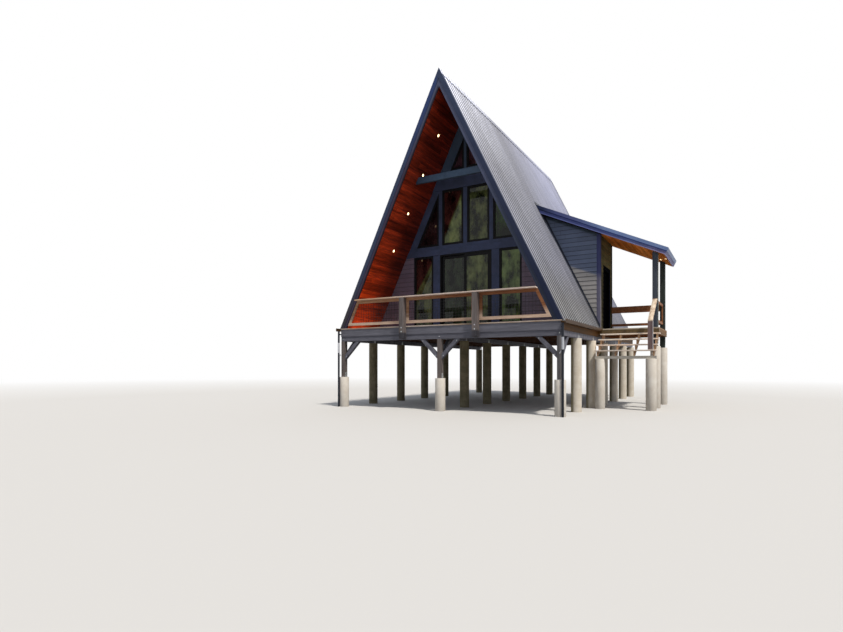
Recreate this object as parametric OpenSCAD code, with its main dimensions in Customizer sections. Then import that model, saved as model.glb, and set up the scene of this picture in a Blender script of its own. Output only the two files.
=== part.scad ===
// A-frame cabin on timber posts and round concrete piers, with an entry dormer,
// a porch and a short open stair on its right side. Millimetres, Z up.
// The origin is at the lowest ground, under the ridge, at the front of the deck.

/* [A-frame] */
// Height of the deck above the lowest ground
deck_z = 2580; // [2200:10:3200]
// Height of the ridge above the deck
ridge_rise = 7660; // [7200:10:8200]
// Half the width of the roof at deck level
half_base = 3715; // [3600:5:3900]
// Length of the roof along the ridge
roof_len = 11200; // [10600:10:12400]
// Depth of the covered front deck
front_deck_d = 1800; // [1400:10:2000]
// Overhang of the roof behind the back wall
rear_overhang = 450; // [200:10:700]

/* [Roof build-up] */
// Rafters with their sheathing
core_t = 196; // [140:1:240]
// Cedar boards on the underside
board_t = 19; // [12:1:25]
// Exposed width of a cedar board
board_w = 140; // [90:1:180]
// Width and depth of the groove between two cedar boards
groove_w = 8; // [4:1:12]
// Height of a rib of the metal sheet
rib_h = 19; // [12:1:30]
// Spacing of the ribs
rib_pitch = 228; // [180:1:300]
// Width of a rib at its foot
rib_foot = 44; // [30:1:60]
// Width of a rib at its top
rib_top = 18; // [10:1:24]
// Thickness of the metal sheet
sheet_t = 2; // [1:0.5:4]
// How far the metal runs past the foot of the rafters
eave_drop = 30; // [10:1:60]
// Gap between the roof metal and the side of the floor at deck level
eave_gap = 1.5; // [1:0.5:10]
// Leg of the ridge cap
ridge_leg = 200; // [120:5:300]
// Distance of the upper ends of the metal from the ridge line
ridge_gap = 18; // [10:1:40]
// Gap between pieces that meet along a slope
seam = 0.5; // [0.4:0.1:2]

/* [Rake trim] */
// Thickness of the rake board
rake_t = 38; // [25:1:50]
// Face width of the dark metal on the rake
rake_metal_w = 130; // [80:1:150]
// Thickness of the trim metal
trim_t = 3; // [2:0.5:5]

/* [Floor] */
// Thickness of the deck boards and of the floor
floor_t = 38; // [25:1:45]
// Width of a deck board
deck_board_w = 140; // [90:1:180]
// Gap between deck boards
deck_gap = 5; // [3:1:8]
// Height of the joists
joist_h = 235; // [184:1:286]
// Thickness of joists, rims and stringers
lumber_t = 38; // [30:1:50]
// Largest spacing of the joists
joist_pitch = 406; // [300:1:610]
// Height of the beams under the joists
beam_h = 152; // [120:1:200]
// Side of the square posts under the deck and of the post of the stair rail
post_w = 140; // [120:1:160]
// How far the front beam stands back from the front rim
beam_setback = 15; // [5:1:40]
// Gap at a bolted joint between two beams
bolt_gap = 2; // [1:0.5:4]

/* [Supports] */
// Distance from the side of the floor to the middle of a side girder
girder_inset = 70; // [70:5:300]
// Diameter of a round pier and of a round footing
pier_d = 305; // [250:5:330]
// Distance from the front to the first pier of a row
pier_y0 = 1750; // [1400:10:2200]
// Distance from the last pier of a row to the back of the roof
pier_back = 200; // [160:10:600]
// Number of piers in a row
pier_count = 6; // [5:1:7]
// Height of the front footings
footing_h = 980; // [600:10:1300]
// Height of the porch footings
porch_footing_h = 1980; // [1600:10:2050]
// Length of a knee brace along the beam
knee_reach = 600; // [400:10:800]
// Width of a knee brace
knee_w = 110; // [80:5:130]

/* [Front rail] */
// Height of the rails above the deck
rail_h = 910; // [850:5:1000]
// Distance from the ridge line to a rail post
rail_post_x = 1230; // [900:10:1500]
// Side of the square rail posts
rail_post_w = 165; // [120:5:190]
// How far the rail posts hang below the floor frame
rail_post_drop = 130; // [40:5:140]
// Thickness of the cedar members
cedar_t = 38; // [30:1:45]
// Width of the cedar members
cedar_w = 89; // [70:1:110]
// How far the cap of the front rail stands out past its posts
cap_over = 4; // [2:1:20]
// Height of the bottom rail above the deck
rail_gap = 80; // [50:5:120]
// Spacing of the wires of the mesh
mesh_pitch = 102; // [75:1:150]
// Thickness of a wire of the mesh
wire_t = 5; // [4:0.5:8]

/* [Front wall] */
// Depth of the wall frame
wall_t = 140; // [115:5:165]
// Height of the windows and doors of the lower row
head_z = 2480; // [2380:10:2520]
// Height of the sill of the lower windows
low_sill = 100; // [60:5:200]
// Height of the middle beam
mid_beam_h = 200; // [160:5:260]
// Height of the sill band over the middle beam
sill_band_h = 115; // [80:5:150]
// How far the middle beam stands out of the wall
band_proud = 20; // [10:1:40]
// Bottom of the header over the upper windows
header_z = 4630; // [4500:10:4700]
// Height of the header
header_h = 340; // [280:5:380]
// Half the width of the sliding door opening
door_half = 930; // [900:5:960]
// Inner edge of a lower side window
low_win_in = 1190; // [1150:5:1220]
// Outer edge of a lower side window
low_win_out = 1940; // [1850:5:1980]
// Half the width of the middle post of the upper row
mid_post_half = 70; // [50:5:90]
// Outer edge of an upper middle window
up_win_out = 850; // [800:5:880]
// Width of the posts of the upper row
up_post_w = 130; // [100:5:140]
// Level width of the sloping stud along the ceiling
rake_stud_w = 260; // [200:5:300]
// Height of the sill of the top windows over the header
top_sill = 270; // [200:5:320]
// Level width of the frame along the ceiling at the top windows
top_stud_w = 365; // [320:5:400]
// Half the width of the post between the top windows
top_post_half = 45; // [35:1:60]
// Width of a window frame
frame_w = 55; // [45:1:70]
// Depth of a window frame
frame_d = 80; // [60:1:100]
// How far the window frames stand back from the face of the wall
frame_back = 12; // [4:1:30]
// Thickness of the glass
glass_t = 24; // [16:1:30]
// Bottom of the tie beam across the front overhang, above the deck
tie_z = 4590; // [4400:10:4800]
// Height of the tie beam
tie_h = 200; // [150:5:240]
// Thickness of the tie beam
tie_t = 89; // [60:1:120]
// Distance of the tie beam from the front
tie_y = 700; // [500:10:900]

/* [Sliding door] */
// Width of the door frame
slide_frame_w = 50; // [40:1:60]
// Height of the sill track
track_h = 40; // [30:1:50]
// Width of a door stile
stile_w = 90; // [70:1:100]
// Height of the bottom rail of a door panel
door_rail_h = 110; // [90:5:160]
// Thickness of a door panel
panel_t = 40; // [35:1:50]
// Gap between a moving panel and its neighbours
clear = 6; // [5.5:0.5:8]

/* [Lap siding] */
// Exposed height of a siding board
lap_h = 152; // [100:1:200]
// Thickness of a siding board at its butt
lap_t = 18; // [12:1:24]
// Thickness of a siding board at its top
lap_thin = 5; // [3:1:8]
// Width of the corner boards
corner_w = 110; // [80:5:140]

/* [Back wall] */
// Width of the back windows
back_win_w = 900; // [700:10:1100]
// Distance from the middle to the inner edge of a lower back window
back_win_x = 500; // [400:10:700]
// Sill height of the lower back windows
back_sill = 900; // [700:10:1000]
// Height of the lower back windows
back_win_h = 1300; // [1000:10:1400]
// Sill height of the upper back window
back_up_sill = 3200; // [3000:10:3400]
// Height of the upper back window
back_up_h = 1200; // [1000:10:1300]

/* [Entry dormer] */
// Front face of the dormer
dormer_y0 = 4600; // [4400:10:4800]
// Headroom of the passage through the roof
passage_h = 2350; // [2250:10:2450]
// Distance from the front face of the dormer to the door opening
entry_y = 550; // [450:10:650]
// Width of the door opening
entry_w = 950; // [850:10:1000]
// Distance from the door opening to the back face of the dormer
entry_back = 450; // [400:10:900]
// Height of the door opening
entry_h = 2130; // [2050:10:2200]
// Width of the door frame
entry_frame_w = 40; // [30:1:50]
// Thickness of the door sill
sill_t = 30; // [20:1:40]
// Thickness of the door leaf
leaf_t = 44; // [38:1:50]
// Radius of a hinge knuckle
hinge_r = 7; // [6:0.5:9]
// Height of a hinge knuckle
hinge_h = 35; // [25:1:50]
// Distance of the outer hinges from the ends of the leaf
hinge_end = 220; // [150:10:350]
// Distance of the knobs from the free edge of the leaf
knob_inset = 65; // [55:1:80]
// Height of the knobs above the deck
knob_z = 950; // [850:10:1100]
// Diameter of the rose under a knob
rose_d = 60; // [50:1:70]
// Thickness of the rose
rose_t = 8; // [5:1:12]
// Diameter of the neck of a knob
neck_d = 22; // [16:1:30]
// Diameter of a knob
knob_d = 52; // [45:1:60]
// Length of the grip of a knob
knob_t = 28; // [20:1:35]
// Bevel at the edges of a knob
knob_round = 8; // [3:1:10]
// How far a knob stands out of the leaf
knob_reach = 54; // [45:1:70]

/* [Shed roof] */
// How far the eave stands out past the porch floor
shed_eave_over = 280; // [200:10:400]
// Height of the eave above the deck
shed_eave_z = 2470; // [2400:10:2650]
// Slope of the shed roof
shed_angle = 24.75; // [22:0.25:26]
// How far the shed roof stands out past the dormer at each side
shed_over = 300; // [200:10:350]
// Rafters and sheathing of the shed roof
shed_core_t = 184; // [140:1:190]

/* [Porch] */
// Width of the porch floor from the side of the cabin
porch_w = 1860; // [1700:10:2000]
// How far the porch floor starts in front of the dormer
porch_front = 220; // [150:10:300]
// Height of the porch joists
porch_joist_h = 184; // [140:1:200]
// Side of the square porch posts
porch_post_w = 165; // [140:5:190]
// Height of the lower rail of the porch above the deck
porch_low_rail = 200; // [150:5:300]
// Height of the wide board of the back rail
back_board_h = 230; // [140:5:260]

/* [Stair] */
// Number of treads
tread_count = 4; // [3:1:5]
// Rise of a step
step_rise = 185; // [170:1:195]
// Run of a step
step_run = 275; // [250:1:300]
// Gap between the side of the cabin and the treads
stair_gap = 110; // [60:10:200]
// Width of the treads
stair_w = 1800; // [1700:10:1900]
// Number of stringers
stringer_count = 4; // [3:1:5]
// Distance of the outer stringers from the ends of the treads
stringer_inset = 60; // [40:5:120]
// Height of the stringer behind the notches
stringer_back = 130; // [100:5:180]
// Nosing of a tread
nosing = 20; // [10:1:30]
// Height of the sill under the foot of the stair
sill_h = 89; // [70:1:140]
// Distance of the post of the stair rail from the front edge of the lowest tread
newel_back = 30; // [10:5:60]

/* [Rainwater] */
// Width of a gutter
gutter_w = 125; // [100:5:140]
// Height of the outer side of a gutter
gutter_h = 100; // [80:5:120]
// Height of its side against the floor frame
gutter_back_h = 48; // [30:2:50]
// Gap between the foot of the roof metal and the sides of a gutter under it
gutter_gap = 6; // [3:1:15]
// Width of the rolled edge of a gutter
gutter_lip = 16; // [10:1:25]
// How far a gutter runs past its downpipe
gutter_over = 12; // [5:1:40]
// Diameter of the downpipes
pipe_d = 65; // [50:1:80]
// Gap between the side of the floor frame and a downpipe
pipe_gap = 8; // [6:1:15]
// Thickness of the strap of a downpipe
strap_t = 4; // [3:1:6]
// Width of the strap round the pipe
strap_w = 30; // [20:1:50]
// Length of the strap along the floor frame
strap_len = 120; // [100:5:160]
// Height of the strap
strap_h = 40; // [20:1:60]
// Height of the strap above the bottom of the floor frame
strap_z = 60; // [20:1:120]

/* [Lights] */
// Diameter of the round lights in the ceiling
light_d = 110; // [80:5:150]
// Height of the lowest light above the deck
light_z = 2590; // [2400:10:2700]
// Vertical spacing of the lights
light_pitch = 1160; // [1000:10:1200]
// Thickness of a light
light_t = 8; // [5:1:12]
// Distances of the two porch lights from the eave
porch_light_out = 185; // [120:5:300]
porch_light_in = 400; // [300:5:600]
// Distances of the two porch lights from the front of the shed roof
porch_light_front = 1020; // [600:10:1200]
porch_light_back = 1635; // [1300:10:1900]

/* [Hidden] */
$fn = 48;

// Horizontal run of the main roof for each unit of height, and the length of slope for it
run = half_base / ridge_rise;
stretch = sqrt(1 + run * run);
roof_angle = atan(ridge_rise / half_base);
apex_z = deck_z + ridge_rise;
slope_len = ridge_rise * stretch;
metal_d = rib_h + sheet_t;
core_d = metal_d + seam;
ceiling_d = core_d + core_t + seam;
inner_d = ceiling_d + board_t;
wall_d = inner_d + seam;
floor_half = floor(half_base - metal_d * stretch - eave_gap);
frame_bottom = deck_z - floor_t - joist_h;
beam_bottom = frame_bottom - beam_h;
girder_x = floor_half - girder_inset;
post_y = beam_setback + post_w / 2;
rail_z = deck_z + rail_h;

// Front wall
wall_y0 = front_deck_d;
wall_y1 = front_deck_d + wall_t;
beam_z0 = deck_z + head_z;
beam_z1 = beam_z0 + mid_beam_h;
upper_z0 = beam_z1 + sill_band_h;
upper_z1 = deck_z + header_z;
gable_z0 = upper_z1 + header_h;
glass_y = wall_y0 + frame_back + (frame_d - glass_t) / 2;
corner_trim_x = low_win_out + corner_w;

// Back wall
back_y1 = roof_len - rear_overhang;
back_y0 = back_y1 - wall_t;
back_frame_y = back_y1 - frame_back - frame_d;

// Porch and stair across the cabin
porch_x1 = floor_half + porch_w;
shed_eave_x = porch_x1 + shed_eave_over;
stair_x0 = floor_half + stair_gap;
stair_x1 = stair_x0 + stair_w;

// Dormer and shed roof
entry_y0 = dormer_y0 + entry_y;
entry_y1 = entry_y0 + entry_w;
entry_z = deck_z + entry_h;
dormer_y1 = entry_y1 + entry_back;
passage_y0 = dormer_y0 + wall_t;
passage_y1 = dormer_y1 - wall_t;
passage_z = deck_z + passage_h;
dormer_x0 = floor_half - wall_t;
corner_x = floor_half - corner_w;
corner_z = roof_z(floor_half, -trim_t);
side_lap_z = roof_z(floor_half, metal_d);
shed_y0 = dormer_y0 - shed_over;
shed_y1 = dormer_y1 + shed_over;
shed_run = 1 / cos(shed_angle);
shed_ceiling_d = core_d + shed_core_t + seam;
shed_inner_d = shed_ceiling_d + board_t;
shed_wall_d = shed_inner_d + seam;
shed_a = deck_z + shed_eave_z + shed_eave_x * tan(shed_angle);

// Porch and stair along the cabin
porch_frame_z = deck_z - floor_t - porch_joist_h;
porch_x0 = (slope_len + eave_drop) * cos(roof_angle) + deck_gap;
porch_y0 = dormer_y0 - porch_front;
porch_y1 = dormer_y1;
porch_post_x = porch_x1 - lumber_t - porch_post_w;
porch_post_ys = [porch_y0 + lumber_t, porch_y1 - lumber_t - porch_post_w];
stair_foot_y = porch_y0 - tread_count * step_run;
newel_x = porch_post_x + (porch_post_w - post_w) / 2;
newel_y = stair_foot_y - nosing + newel_back;
newel_z = deck_z - tread_count * step_rise;
rail_pitch = step_rise / step_run;
stair_foot_z = newel_z - step_rise;
newel_top = rail_z - (porch_post_ys[0] - newel_y - post_w) * rail_pitch - cedar_t;

// Downpipes clear of the footings at the front corners
pipe_x = floor_half + pipe_gap + pipe_d / 2;
pipe_reach = (pier_d + pipe_d) / 2 + clear;
pipe_y = post_y - sqrt(max(0, pow(pipe_reach, 2) - pow(pipe_x - girder_x, 2)));
gutter_y0 = pipe_y - pipe_d / 2 - gutter_over;
metal_foot_z = apex_z - (slope_len + eave_drop) * sin(roof_angle) - metal_d * cos(roof_angle);
gutter_bottom = metal_foot_z - gutter_gap - gutter_back_h;

// Half the clear width of the main roof at height z, measured to a layer at depth d
function roof_x(z, d) = (apex_z - z) * run - d * stretch;
// Height at which that layer stands at the distance x from the ridge line
function roof_z(x, d) = apex_z - (x + d * stretch) / run;
// Cross-section of a layer of the main roof between two depths, from height z upwards
function layer(z, d0, d1) = [
    [roof_x(z, d0), z], [0, roof_z(0, d0)], [0, roof_z(0, d1)], [roof_x(z, d1), z]
];
// A band across the cabin between two heights, cut to the underside of the ceiling
function band(z0, z1) = [
    [-roof_x(z0, wall_d), z0], [roof_x(z0, wall_d), z0], [roof_x(z1, wall_d), z1], [-roof_x(z1, wall_d), z1]
];
// A right triangle beside the ceiling: upright at x, foot at z, stud of level width w at its slope
function raked(x, z, w) = [
    [x, z], [roof_x(z, wall_d) - w, z], [x, roof_z(x + w, wall_d)]
];
// Height of the shed roof at the distance x, for a layer at depth e
function shed_z(x, e) = shed_a - x * tan(shed_angle) - e * shed_run;
// Distance at which that layer meets the main roof at depth d
function shed_join(e, d) = (roof_z(0, d) - shed_a + e * shed_run) / (1 / run - tan(shed_angle));
// Distance down the shed roof of the point at the distance x in the layer at depth e
function shed_u(x, e) = (x - shed_join(0, 0) + e * sin(shed_angle)) * shed_run;
// The point of that layer that stands back from the square end of the eave by the given length
function shed_tip(e, back) = let (x = shed_eave_x - e * sin(shed_angle) - back * cos(shed_angle)) [x, shed_z(x, e)];
// Places of the joists between two rims, no wider apart than the joist spacing
function inner_members(a, b) = let (n = ceil((b - a) / joist_pitch))
    [for (i = [1:n - 1]) a + (b - a) * i / n - lumber_t / 2];
// Even spacing of members no wider apart than the pitch
function spread(a, b, pitch) = [for (i = [0:ceil((b - a) / pitch)]) a + (b - a) * i / ceil((b - a) / pitch)];

// Extrudes a cross-section in X and Z from y0 to y1
module along_y(points, y0, y1) {
    translate([0, y1, 0]) rotate([90, 0, 0]) linear_extrude(height = y1 - y0) polygon(points);
}
// Extrudes a cross-section in Y and Z from x0 to x1
module along_x(points, x0, x1) {
    translate([x0, 0, 0]) rotate([90, 0, 90]) linear_extrude(height = x1 - x0) polygon(points);
}
// A box between two corners
module block(a, b) {
    translate(a) cube(b - a);
}
// The same thing on both sides of the ridge line
module both_sides() {
    children();
    mirror([1, 0, 0]) children();
}
// The plane of the right slope: X runs down the slope from the apex and Z stands out of it
module on_slope() {
    translate([0, 0, apex_z]) rotate([0, roof_angle, 0]) children();
}
// The plane of the shed roof: X runs down from where it meets the main roof
module on_shed() {
    translate([shed_join(0, 0), 0, shed_z(shed_join(0, 0), 0)]) rotate([0, shed_angle, 0]) children();
}
// Ribbed metal from u0 to u1 down the slope and from y0 to y1 across it
module ribbed_sheet(u0, u1, y0, y1) {
    count = floor((y1 - y0 - rib_foot) / rib_pitch);
    start = y0 + ((y1 - y0) - count * rib_pitch) / 2;
    ribs = [for (i = [0:count], k = [0:3])
        [start + i * rib_pitch + [-rib_foot, -rib_top, rib_top, rib_foot][k] / 2, [-rib_h, 0, 0, -rib_h][k]]];
    along_x(concat([[y0, -metal_d], [y0, -rib_h]], ribs, [[y1, -rib_h], [y1, -metal_d]]), u0, u1);
}
// Tongue and groove boards under a slope, from u0 to u1, with a groove at each joint
module grooved_boards(u0, u1, depth, y0, y1) {
    count = floor((u1 - u0 - groove_w) / board_w);
    low = [for (i = [1:count], k = [0:2])
        [u1 - i * board_w + [0.5, 0, -0.5][k] * groove_w, -depth - board_t + [0, 0.5, 0][k] * groove_w]];
    along_y(concat([[u0, -depth], [u1, -depth], [u1, -depth - board_t]], low, [[u0, -depth - board_t]]),
        y0, y1);
}
// Lap siding on a face that looks along -Y, between two heights
module laps_y(x0, x1, z0, z1, face_y) {
    count = ceil((z1 - z0) / lap_h);
    steps = [for (i = [0:count - 1], k = [0:1])
        [-[lap_t, lap_thin][k], z0 + min(z1 - z0, (i + k) * lap_h)]];
    along_x([for (p = concat([[0, z0]], steps, [[0, z1]])) [face_y + p[0], p[1]]], x0, x1);
}

// A round footing up to the height h
module footing(x, y, h) {
    translate([x, y, 0]) cylinder(d = pier_d, h = h);
}
// Round concrete footings under the front posts, the porch posts and the foot of the stair
module post_footings() {
    color("wheat") {
        for (x = [-girder_x, 0, girder_x])
            footing(x, post_y, footing_h);
        for (y = porch_post_ys)
            footing(porch_post_x + porch_post_w / 2, y + porch_post_w / 2, porch_footing_h);
        for (x = [stair_x0 + pier_d / 2, stair_x1 - pier_d / 2])
            footing(x, stair_foot_y + post_w / 2, stair_foot_z - sill_h);
    }
}
module piers(x) {
    color("khaki")
    for (y = spread(pier_y0, roof_len - pier_back, (roof_len - pier_back - pier_y0) / (pier_count - 1)))
        translate([x, y, 0]) cylinder(d = pier_d, h = beam_bottom);
}
module left_piers() { piers(-girder_x); }
module middle_piers() { piers(0); }
module right_piers() { piers(girder_x); }
module deck_posts() {
    color("dimgray")
    for (x = [-girder_x, 0, girder_x])
        block([x - post_w / 2, beam_setback, footing_h], [x + post_w / 2, beam_setback + post_w, beam_bottom]);
}
// Cross-section of a knee brace that leans from a post at a to a beam at height z
function knee(a, z, side) = [
    [a, z - knee_reach], [a + side * knee_reach, z],
    [a + side * (knee_reach - knee_w * sqrt(2)), z], [a, z - knee_reach + knee_w * sqrt(2)]
];
module knee_braces() {
    knee_y = beam_setback + (post_w - knee_w) / 2;
    color("slategray") {
        along_y(knee(-girder_x + post_w / 2, beam_bottom, 1), knee_y, knee_y + knee_w);
        along_y(knee(-post_w / 2, beam_bottom, -1), knee_y, knee_y + knee_w);
        along_y(knee(post_w / 2, beam_bottom, 1), knee_y, knee_y + knee_w);
        along_y(knee(girder_x - post_w / 2, beam_bottom, -1), knee_y, knee_y + knee_w);
        for (x = [-girder_x, 0, girder_x])
            along_x(knee(beam_setback + post_w, beam_bottom, 1), x - knee_w / 2, x + knee_w / 2);
    }
}
// The beam across the front and the three girders behind it
module floor_beams() {
    color("slategray") {
        block([-floor_half, beam_setback, beam_bottom], [floor_half, beam_setback + post_w, frame_bottom]);
        for (x = [-girder_x, 0, girder_x])
            block([x - post_w / 2, beam_setback + post_w + bolt_gap, beam_bottom],
                [x + post_w / 2, roof_len - lumber_t, frame_bottom]);
    }
}
// Joists across the cabin and across the porch
module floor_joists() {
    color("sienna") {
        for (y = inner_members(lumber_t, roof_len - lumber_t))
            block([lumber_t - floor_half, y, frame_bottom],
                [floor_half - lumber_t, y + lumber_t, deck_z - floor_t]);
        difference() {
            for (y = inner_members(porch_y0 + lumber_t, porch_y1 - lumber_t))
                block([floor_half + bolt_gap + lumber_t, y, porch_frame_z],
                    [porch_x1 - lumber_t, y + lumber_t, deck_z - floor_t]);
            porch_post_holes();
        }
    }
}
// The brown rims round the floor and the porch, butted with a gap at the corners
module rim_boards() {
    y0 = lumber_t + bolt_gap;
    y1 = roof_len - lumber_t - bolt_gap;
    top = deck_z - floor_t;
    color("sienna") {
        both_sides() block([floor_half - lumber_t, y0, frame_bottom], [floor_half, y1, deck_z]);
        block([-floor_half, roof_len - lumber_t, frame_bottom], [floor_half, roof_len, deck_z]);
        for (y = [porch_y0, porch_y1 - lumber_t])
            block([floor_half + bolt_gap, y, porch_frame_z], [porch_x1, y + lumber_t, top]);
        for (x = [floor_half + bolt_gap, porch_x1 - lumber_t])
            block([x, porch_y0 + lumber_t + bolt_gap, porch_frame_z],
                [x + lumber_t, porch_y1 - lumber_t - bolt_gap, top]);
    }
}
module front_rim() {
    color("gray")
    block([-floor_half, 0, frame_bottom], [floor_half, lumber_t, deck_z]);
}
// Boards that fill the width from a to b with a gap between two of them
function boards(a, b) = [for (i = [0:ceil((b - a) / (deck_board_w + deck_gap)) - 1])
    [a + i * (deck_board_w + deck_gap), min(b, a + i * (deck_board_w + deck_gap) + deck_board_w)]];
module deck_boards() {
    color("burlywood") {
        for (s = boards(lumber_t + deck_gap, wall_y0 - lap_t - deck_gap))
            block([lumber_t - floor_half, s[0], deck_z - floor_t], [floor_half - lumber_t, s[1], deck_z]);
        difference() {
            for (s = boards(porch_y0, porch_y1))
                block([porch_x0, s[0], deck_z - floor_t], [porch_x1, s[1], deck_z]);
            porch_post_holes();
        }
    }
}
// Space that the floor of the porch leaves round its posts
module porch_post_holes() {
    for (y = porch_post_ys)
        block([porch_post_x - deck_gap, y - deck_gap, 0],
            [porch_post_x + porch_post_w + deck_gap, y + porch_post_w + deck_gap, deck_z + 1]);
}
module house_floor() {
    color("tan")
    block([lumber_t - floor_half, wall_y0 - lap_t, deck_z - floor_t],
        [floor_half - lumber_t, roof_len - lumber_t, deck_z]);
}
// A length of the main roof between its sheathing and its ceiling
module roof_panel(z, y0, y1) {
    color("peru")
    along_y(layer(z, core_d, core_d + core_t), y0, y1);
}
module left_roof_panel() {
    mirror([1, 0, 0]) roof_panel(deck_z, rake_t + seam, roof_len - rake_t - seam);
}
module right_roof_front() { roof_panel(deck_z, rake_t + seam, passage_y0); }
module right_roof_rear() { roof_panel(deck_z, passage_y1, roof_len - rake_t - seam); }
module right_roof_upper() { roof_panel(passage_z, passage_y0, passage_y1); }
// Ribbed metal on one slope, from just under the ridge to below the deck
module slope_metal() {
    on_slope() ribbed_sheet(metal_d / tan(90 - roof_angle) + ridge_gap, slope_len + eave_drop, 0, roof_len);
}
module left_roof_metal() {
    color("darkslategray")
    mirror([1, 0, 0]) slope_metal();
}
module right_roof_metal() {
    color("darkslategray")
    difference() {
        slope_metal();
        block([0, dormer_y0, 0], [shed_eave_x, dormer_y1, roof_z(shed_join(shed_wall_d, metal_d), metal_d)]);
    }
}
module ridge_cap() {
    color("darkslategray")
    translate([0, 0, seam * stretch / run]) along_y([
        [0, apex_z], [ridge_leg * cos(roof_angle), apex_z - ridge_leg * sin(roof_angle)],
        [ridge_leg * cos(roof_angle) + trim_t * stretch, apex_z - ridge_leg * sin(roof_angle)],
        [0, apex_z + trim_t * stretch / run],
        [-ridge_leg * cos(roof_angle) - trim_t * stretch, apex_z - ridge_leg * sin(roof_angle)],
        [-ridge_leg * cos(roof_angle), apex_z - ridge_leg * sin(roof_angle)]
    ], trim_t, roof_len - trim_t);
}
// The boards that close the ends of the rafters, at the main roof and at the shed roof
module rake_boards() {
    color("steelblue") {
        for (y = [0, roof_len - rake_t])
            both_sides() along_y(layer(deck_z, core_d, inner_d), y, y + rake_t);
        for (y = [shed_y0, shed_y1 - rake_t])
            shed_section(core_d, shed_inner_d, y, y + rake_t, rake_t);
        shed_end(core_d, shed_inner_d, 0, rake_t);
    }
}
// Part of the shed roof between two depths, up to the given length from the end of the eave
module shed_section(e0, e1, y0, y1, back) {
    along_y([
        [shed_join(e0, -seam), shed_z(shed_join(e0, -seam), e0)], shed_tip(e0, back),
        shed_tip(e1, back), [shed_join(e1, -seam), shed_z(shed_join(e1, -seam), e1)]
    ], y0, y1);
}
// A board along the eave of the shed roof between two depths and two lengths from its end
module shed_end(e0, e1, near, far) {
    along_y([shed_tip(e0, far), shed_tip(e0, near), shed_tip(e1, near), shed_tip(e1, far)], shed_y0, shed_y1);
}
// Dark metal on the faces of the rakes and along the eave
module trim_metal() {
    color("midnightblue") {
        for (y = [-trim_t - seam, roof_len + seam])
            both_sides() along_y(layer(deck_z, 0, rake_metal_w), y, y + trim_t);
        for (y = [shed_y0 - trim_t - seam, shed_y1 + seam])
            shed_section(0, rake_metal_w, y, y + trim_t, 0);
        shed_end(0, rake_metal_w, -seam - trim_t, -seam);
    }
}
// Cedar boards under one slope, from the overhang through the room
module slope_ceiling() {
    on_slope() grooved_boards(inner_d / tan(90 - roof_angle) + ridge_gap, slope_len - ceiling_d * run,
        ceiling_d, rake_t + seam, roof_len - rake_t - seam);
}
module left_ceiling() {
    color("firebrick")
    mirror([1, 0, 0]) trimmed_ceiling();
}
// The ceiling cut level at the floor
module trimmed_ceiling() {
    intersection() {
        slope_ceiling();
        block([0, 0, deck_z], [half_base, roof_len, apex_z]);
    }
}
module right_ceiling() {
    color("firebrick")
    difference() {
        trimmed_ceiling();
        block([0, passage_y0, 0], [half_base, passage_y1, passage_z]);
    }
}
// Round lights in the ceiling of the front overhang and of the porch
module ceiling_lights() {
    color("lightyellow") {
        for (i = [0:3])
            both_sides() {
                z = deck_z + light_z + i * light_pitch;
                translate([roof_x(z, wall_d), front_deck_d / 2, z]) rotate([0, roof_angle + 180, 0])
                    cylinder(d = light_d, h = light_t);
            }
        porch_light(shed_eave_x - porch_light_out, shed_y0 + porch_light_front);
        porch_light(shed_eave_x - porch_light_in, shed_y0 + porch_light_back);
    }
}
module porch_light(x, y) {
    translate([x, y, shed_z(x, shed_wall_d)]) rotate([0, shed_angle + 180, 0]) cylinder(d = light_d, h = light_t);
}
module tie_beam() {
    color("steelblue")
    along_y(band(deck_z + tie_z, deck_z + tie_z + tie_h), tie_y, tie_y + tie_t);
}

// The sided wall outside the lower windows, down to the deck under the ceiling
module front_wall_side() {
    along_y([
        [low_win_out, deck_z], [roof_x(deck_z, wall_d), deck_z],
        [roof_x(beam_z0, wall_d), beam_z0], [low_win_out, beam_z0]
    ], wall_y0, wall_y1);
    intersection() {
        laps_y(corner_trim_x, half_base, deck_z, beam_z0, wall_y0);
        along_y([
            [corner_trim_x, deck_z], [roof_x(deck_z, wall_d), deck_z],
            [roof_x(beam_z0, wall_d), beam_z0], [corner_trim_x, beam_z0]
        ], wall_y0 - lap_t, wall_y0);
    }
    block([low_win_out, wall_y0 - lap_t, deck_z], [corner_trim_x, wall_y0, beam_z0]);
}
module front_wall_left() {
    color("slategray")
    mirror([1, 0, 0]) front_wall_side();
}
module front_wall_right() {
    color("slategray")
    front_wall_side();
}
// The middle beam with its sill band, and the header over the upper windows
module front_beams() {
    color("darkslateblue") {
        along_y(band(beam_z0, beam_z1), wall_y0 - band_proud, wall_y1);
        along_y(band(beam_z1, upper_z0), wall_y0, wall_y1);
        along_y(band(upper_z1, gable_z0), wall_y0 - band_proud, wall_y1);
    }
}
// Posts and sloping studs between the windows, with the sills of the lower windows
module front_posts() {
    color("darkslateblue") {
        both_sides() {
            block([door_half, wall_y0, deck_z], [low_win_in, wall_y1, beam_z0]);
            block([low_win_in, wall_y0, deck_z], [low_win_out, wall_y1, deck_z + low_sill]);
            block([up_win_out, wall_y0, upper_z0], [up_win_out + up_post_w, wall_y1, upper_z1]);
            along_y([
                [roof_x(upper_z0, wall_d) - rake_stud_w, upper_z0], [roof_x(upper_z0, wall_d), upper_z0],
                [roof_x(upper_z1, wall_d), upper_z1],
                [min(up_win_out + up_post_w, roof_x(upper_z1, wall_d) - rake_stud_w), upper_z1],
                [up_win_out + up_post_w, roof_z(up_win_out + up_post_w + rake_stud_w, wall_d)]
            ], wall_y0, wall_y1);
        }
        block([-mid_post_half, wall_y0, upper_z0], [mid_post_half, wall_y1, upper_z1]);
    }
}
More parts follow.
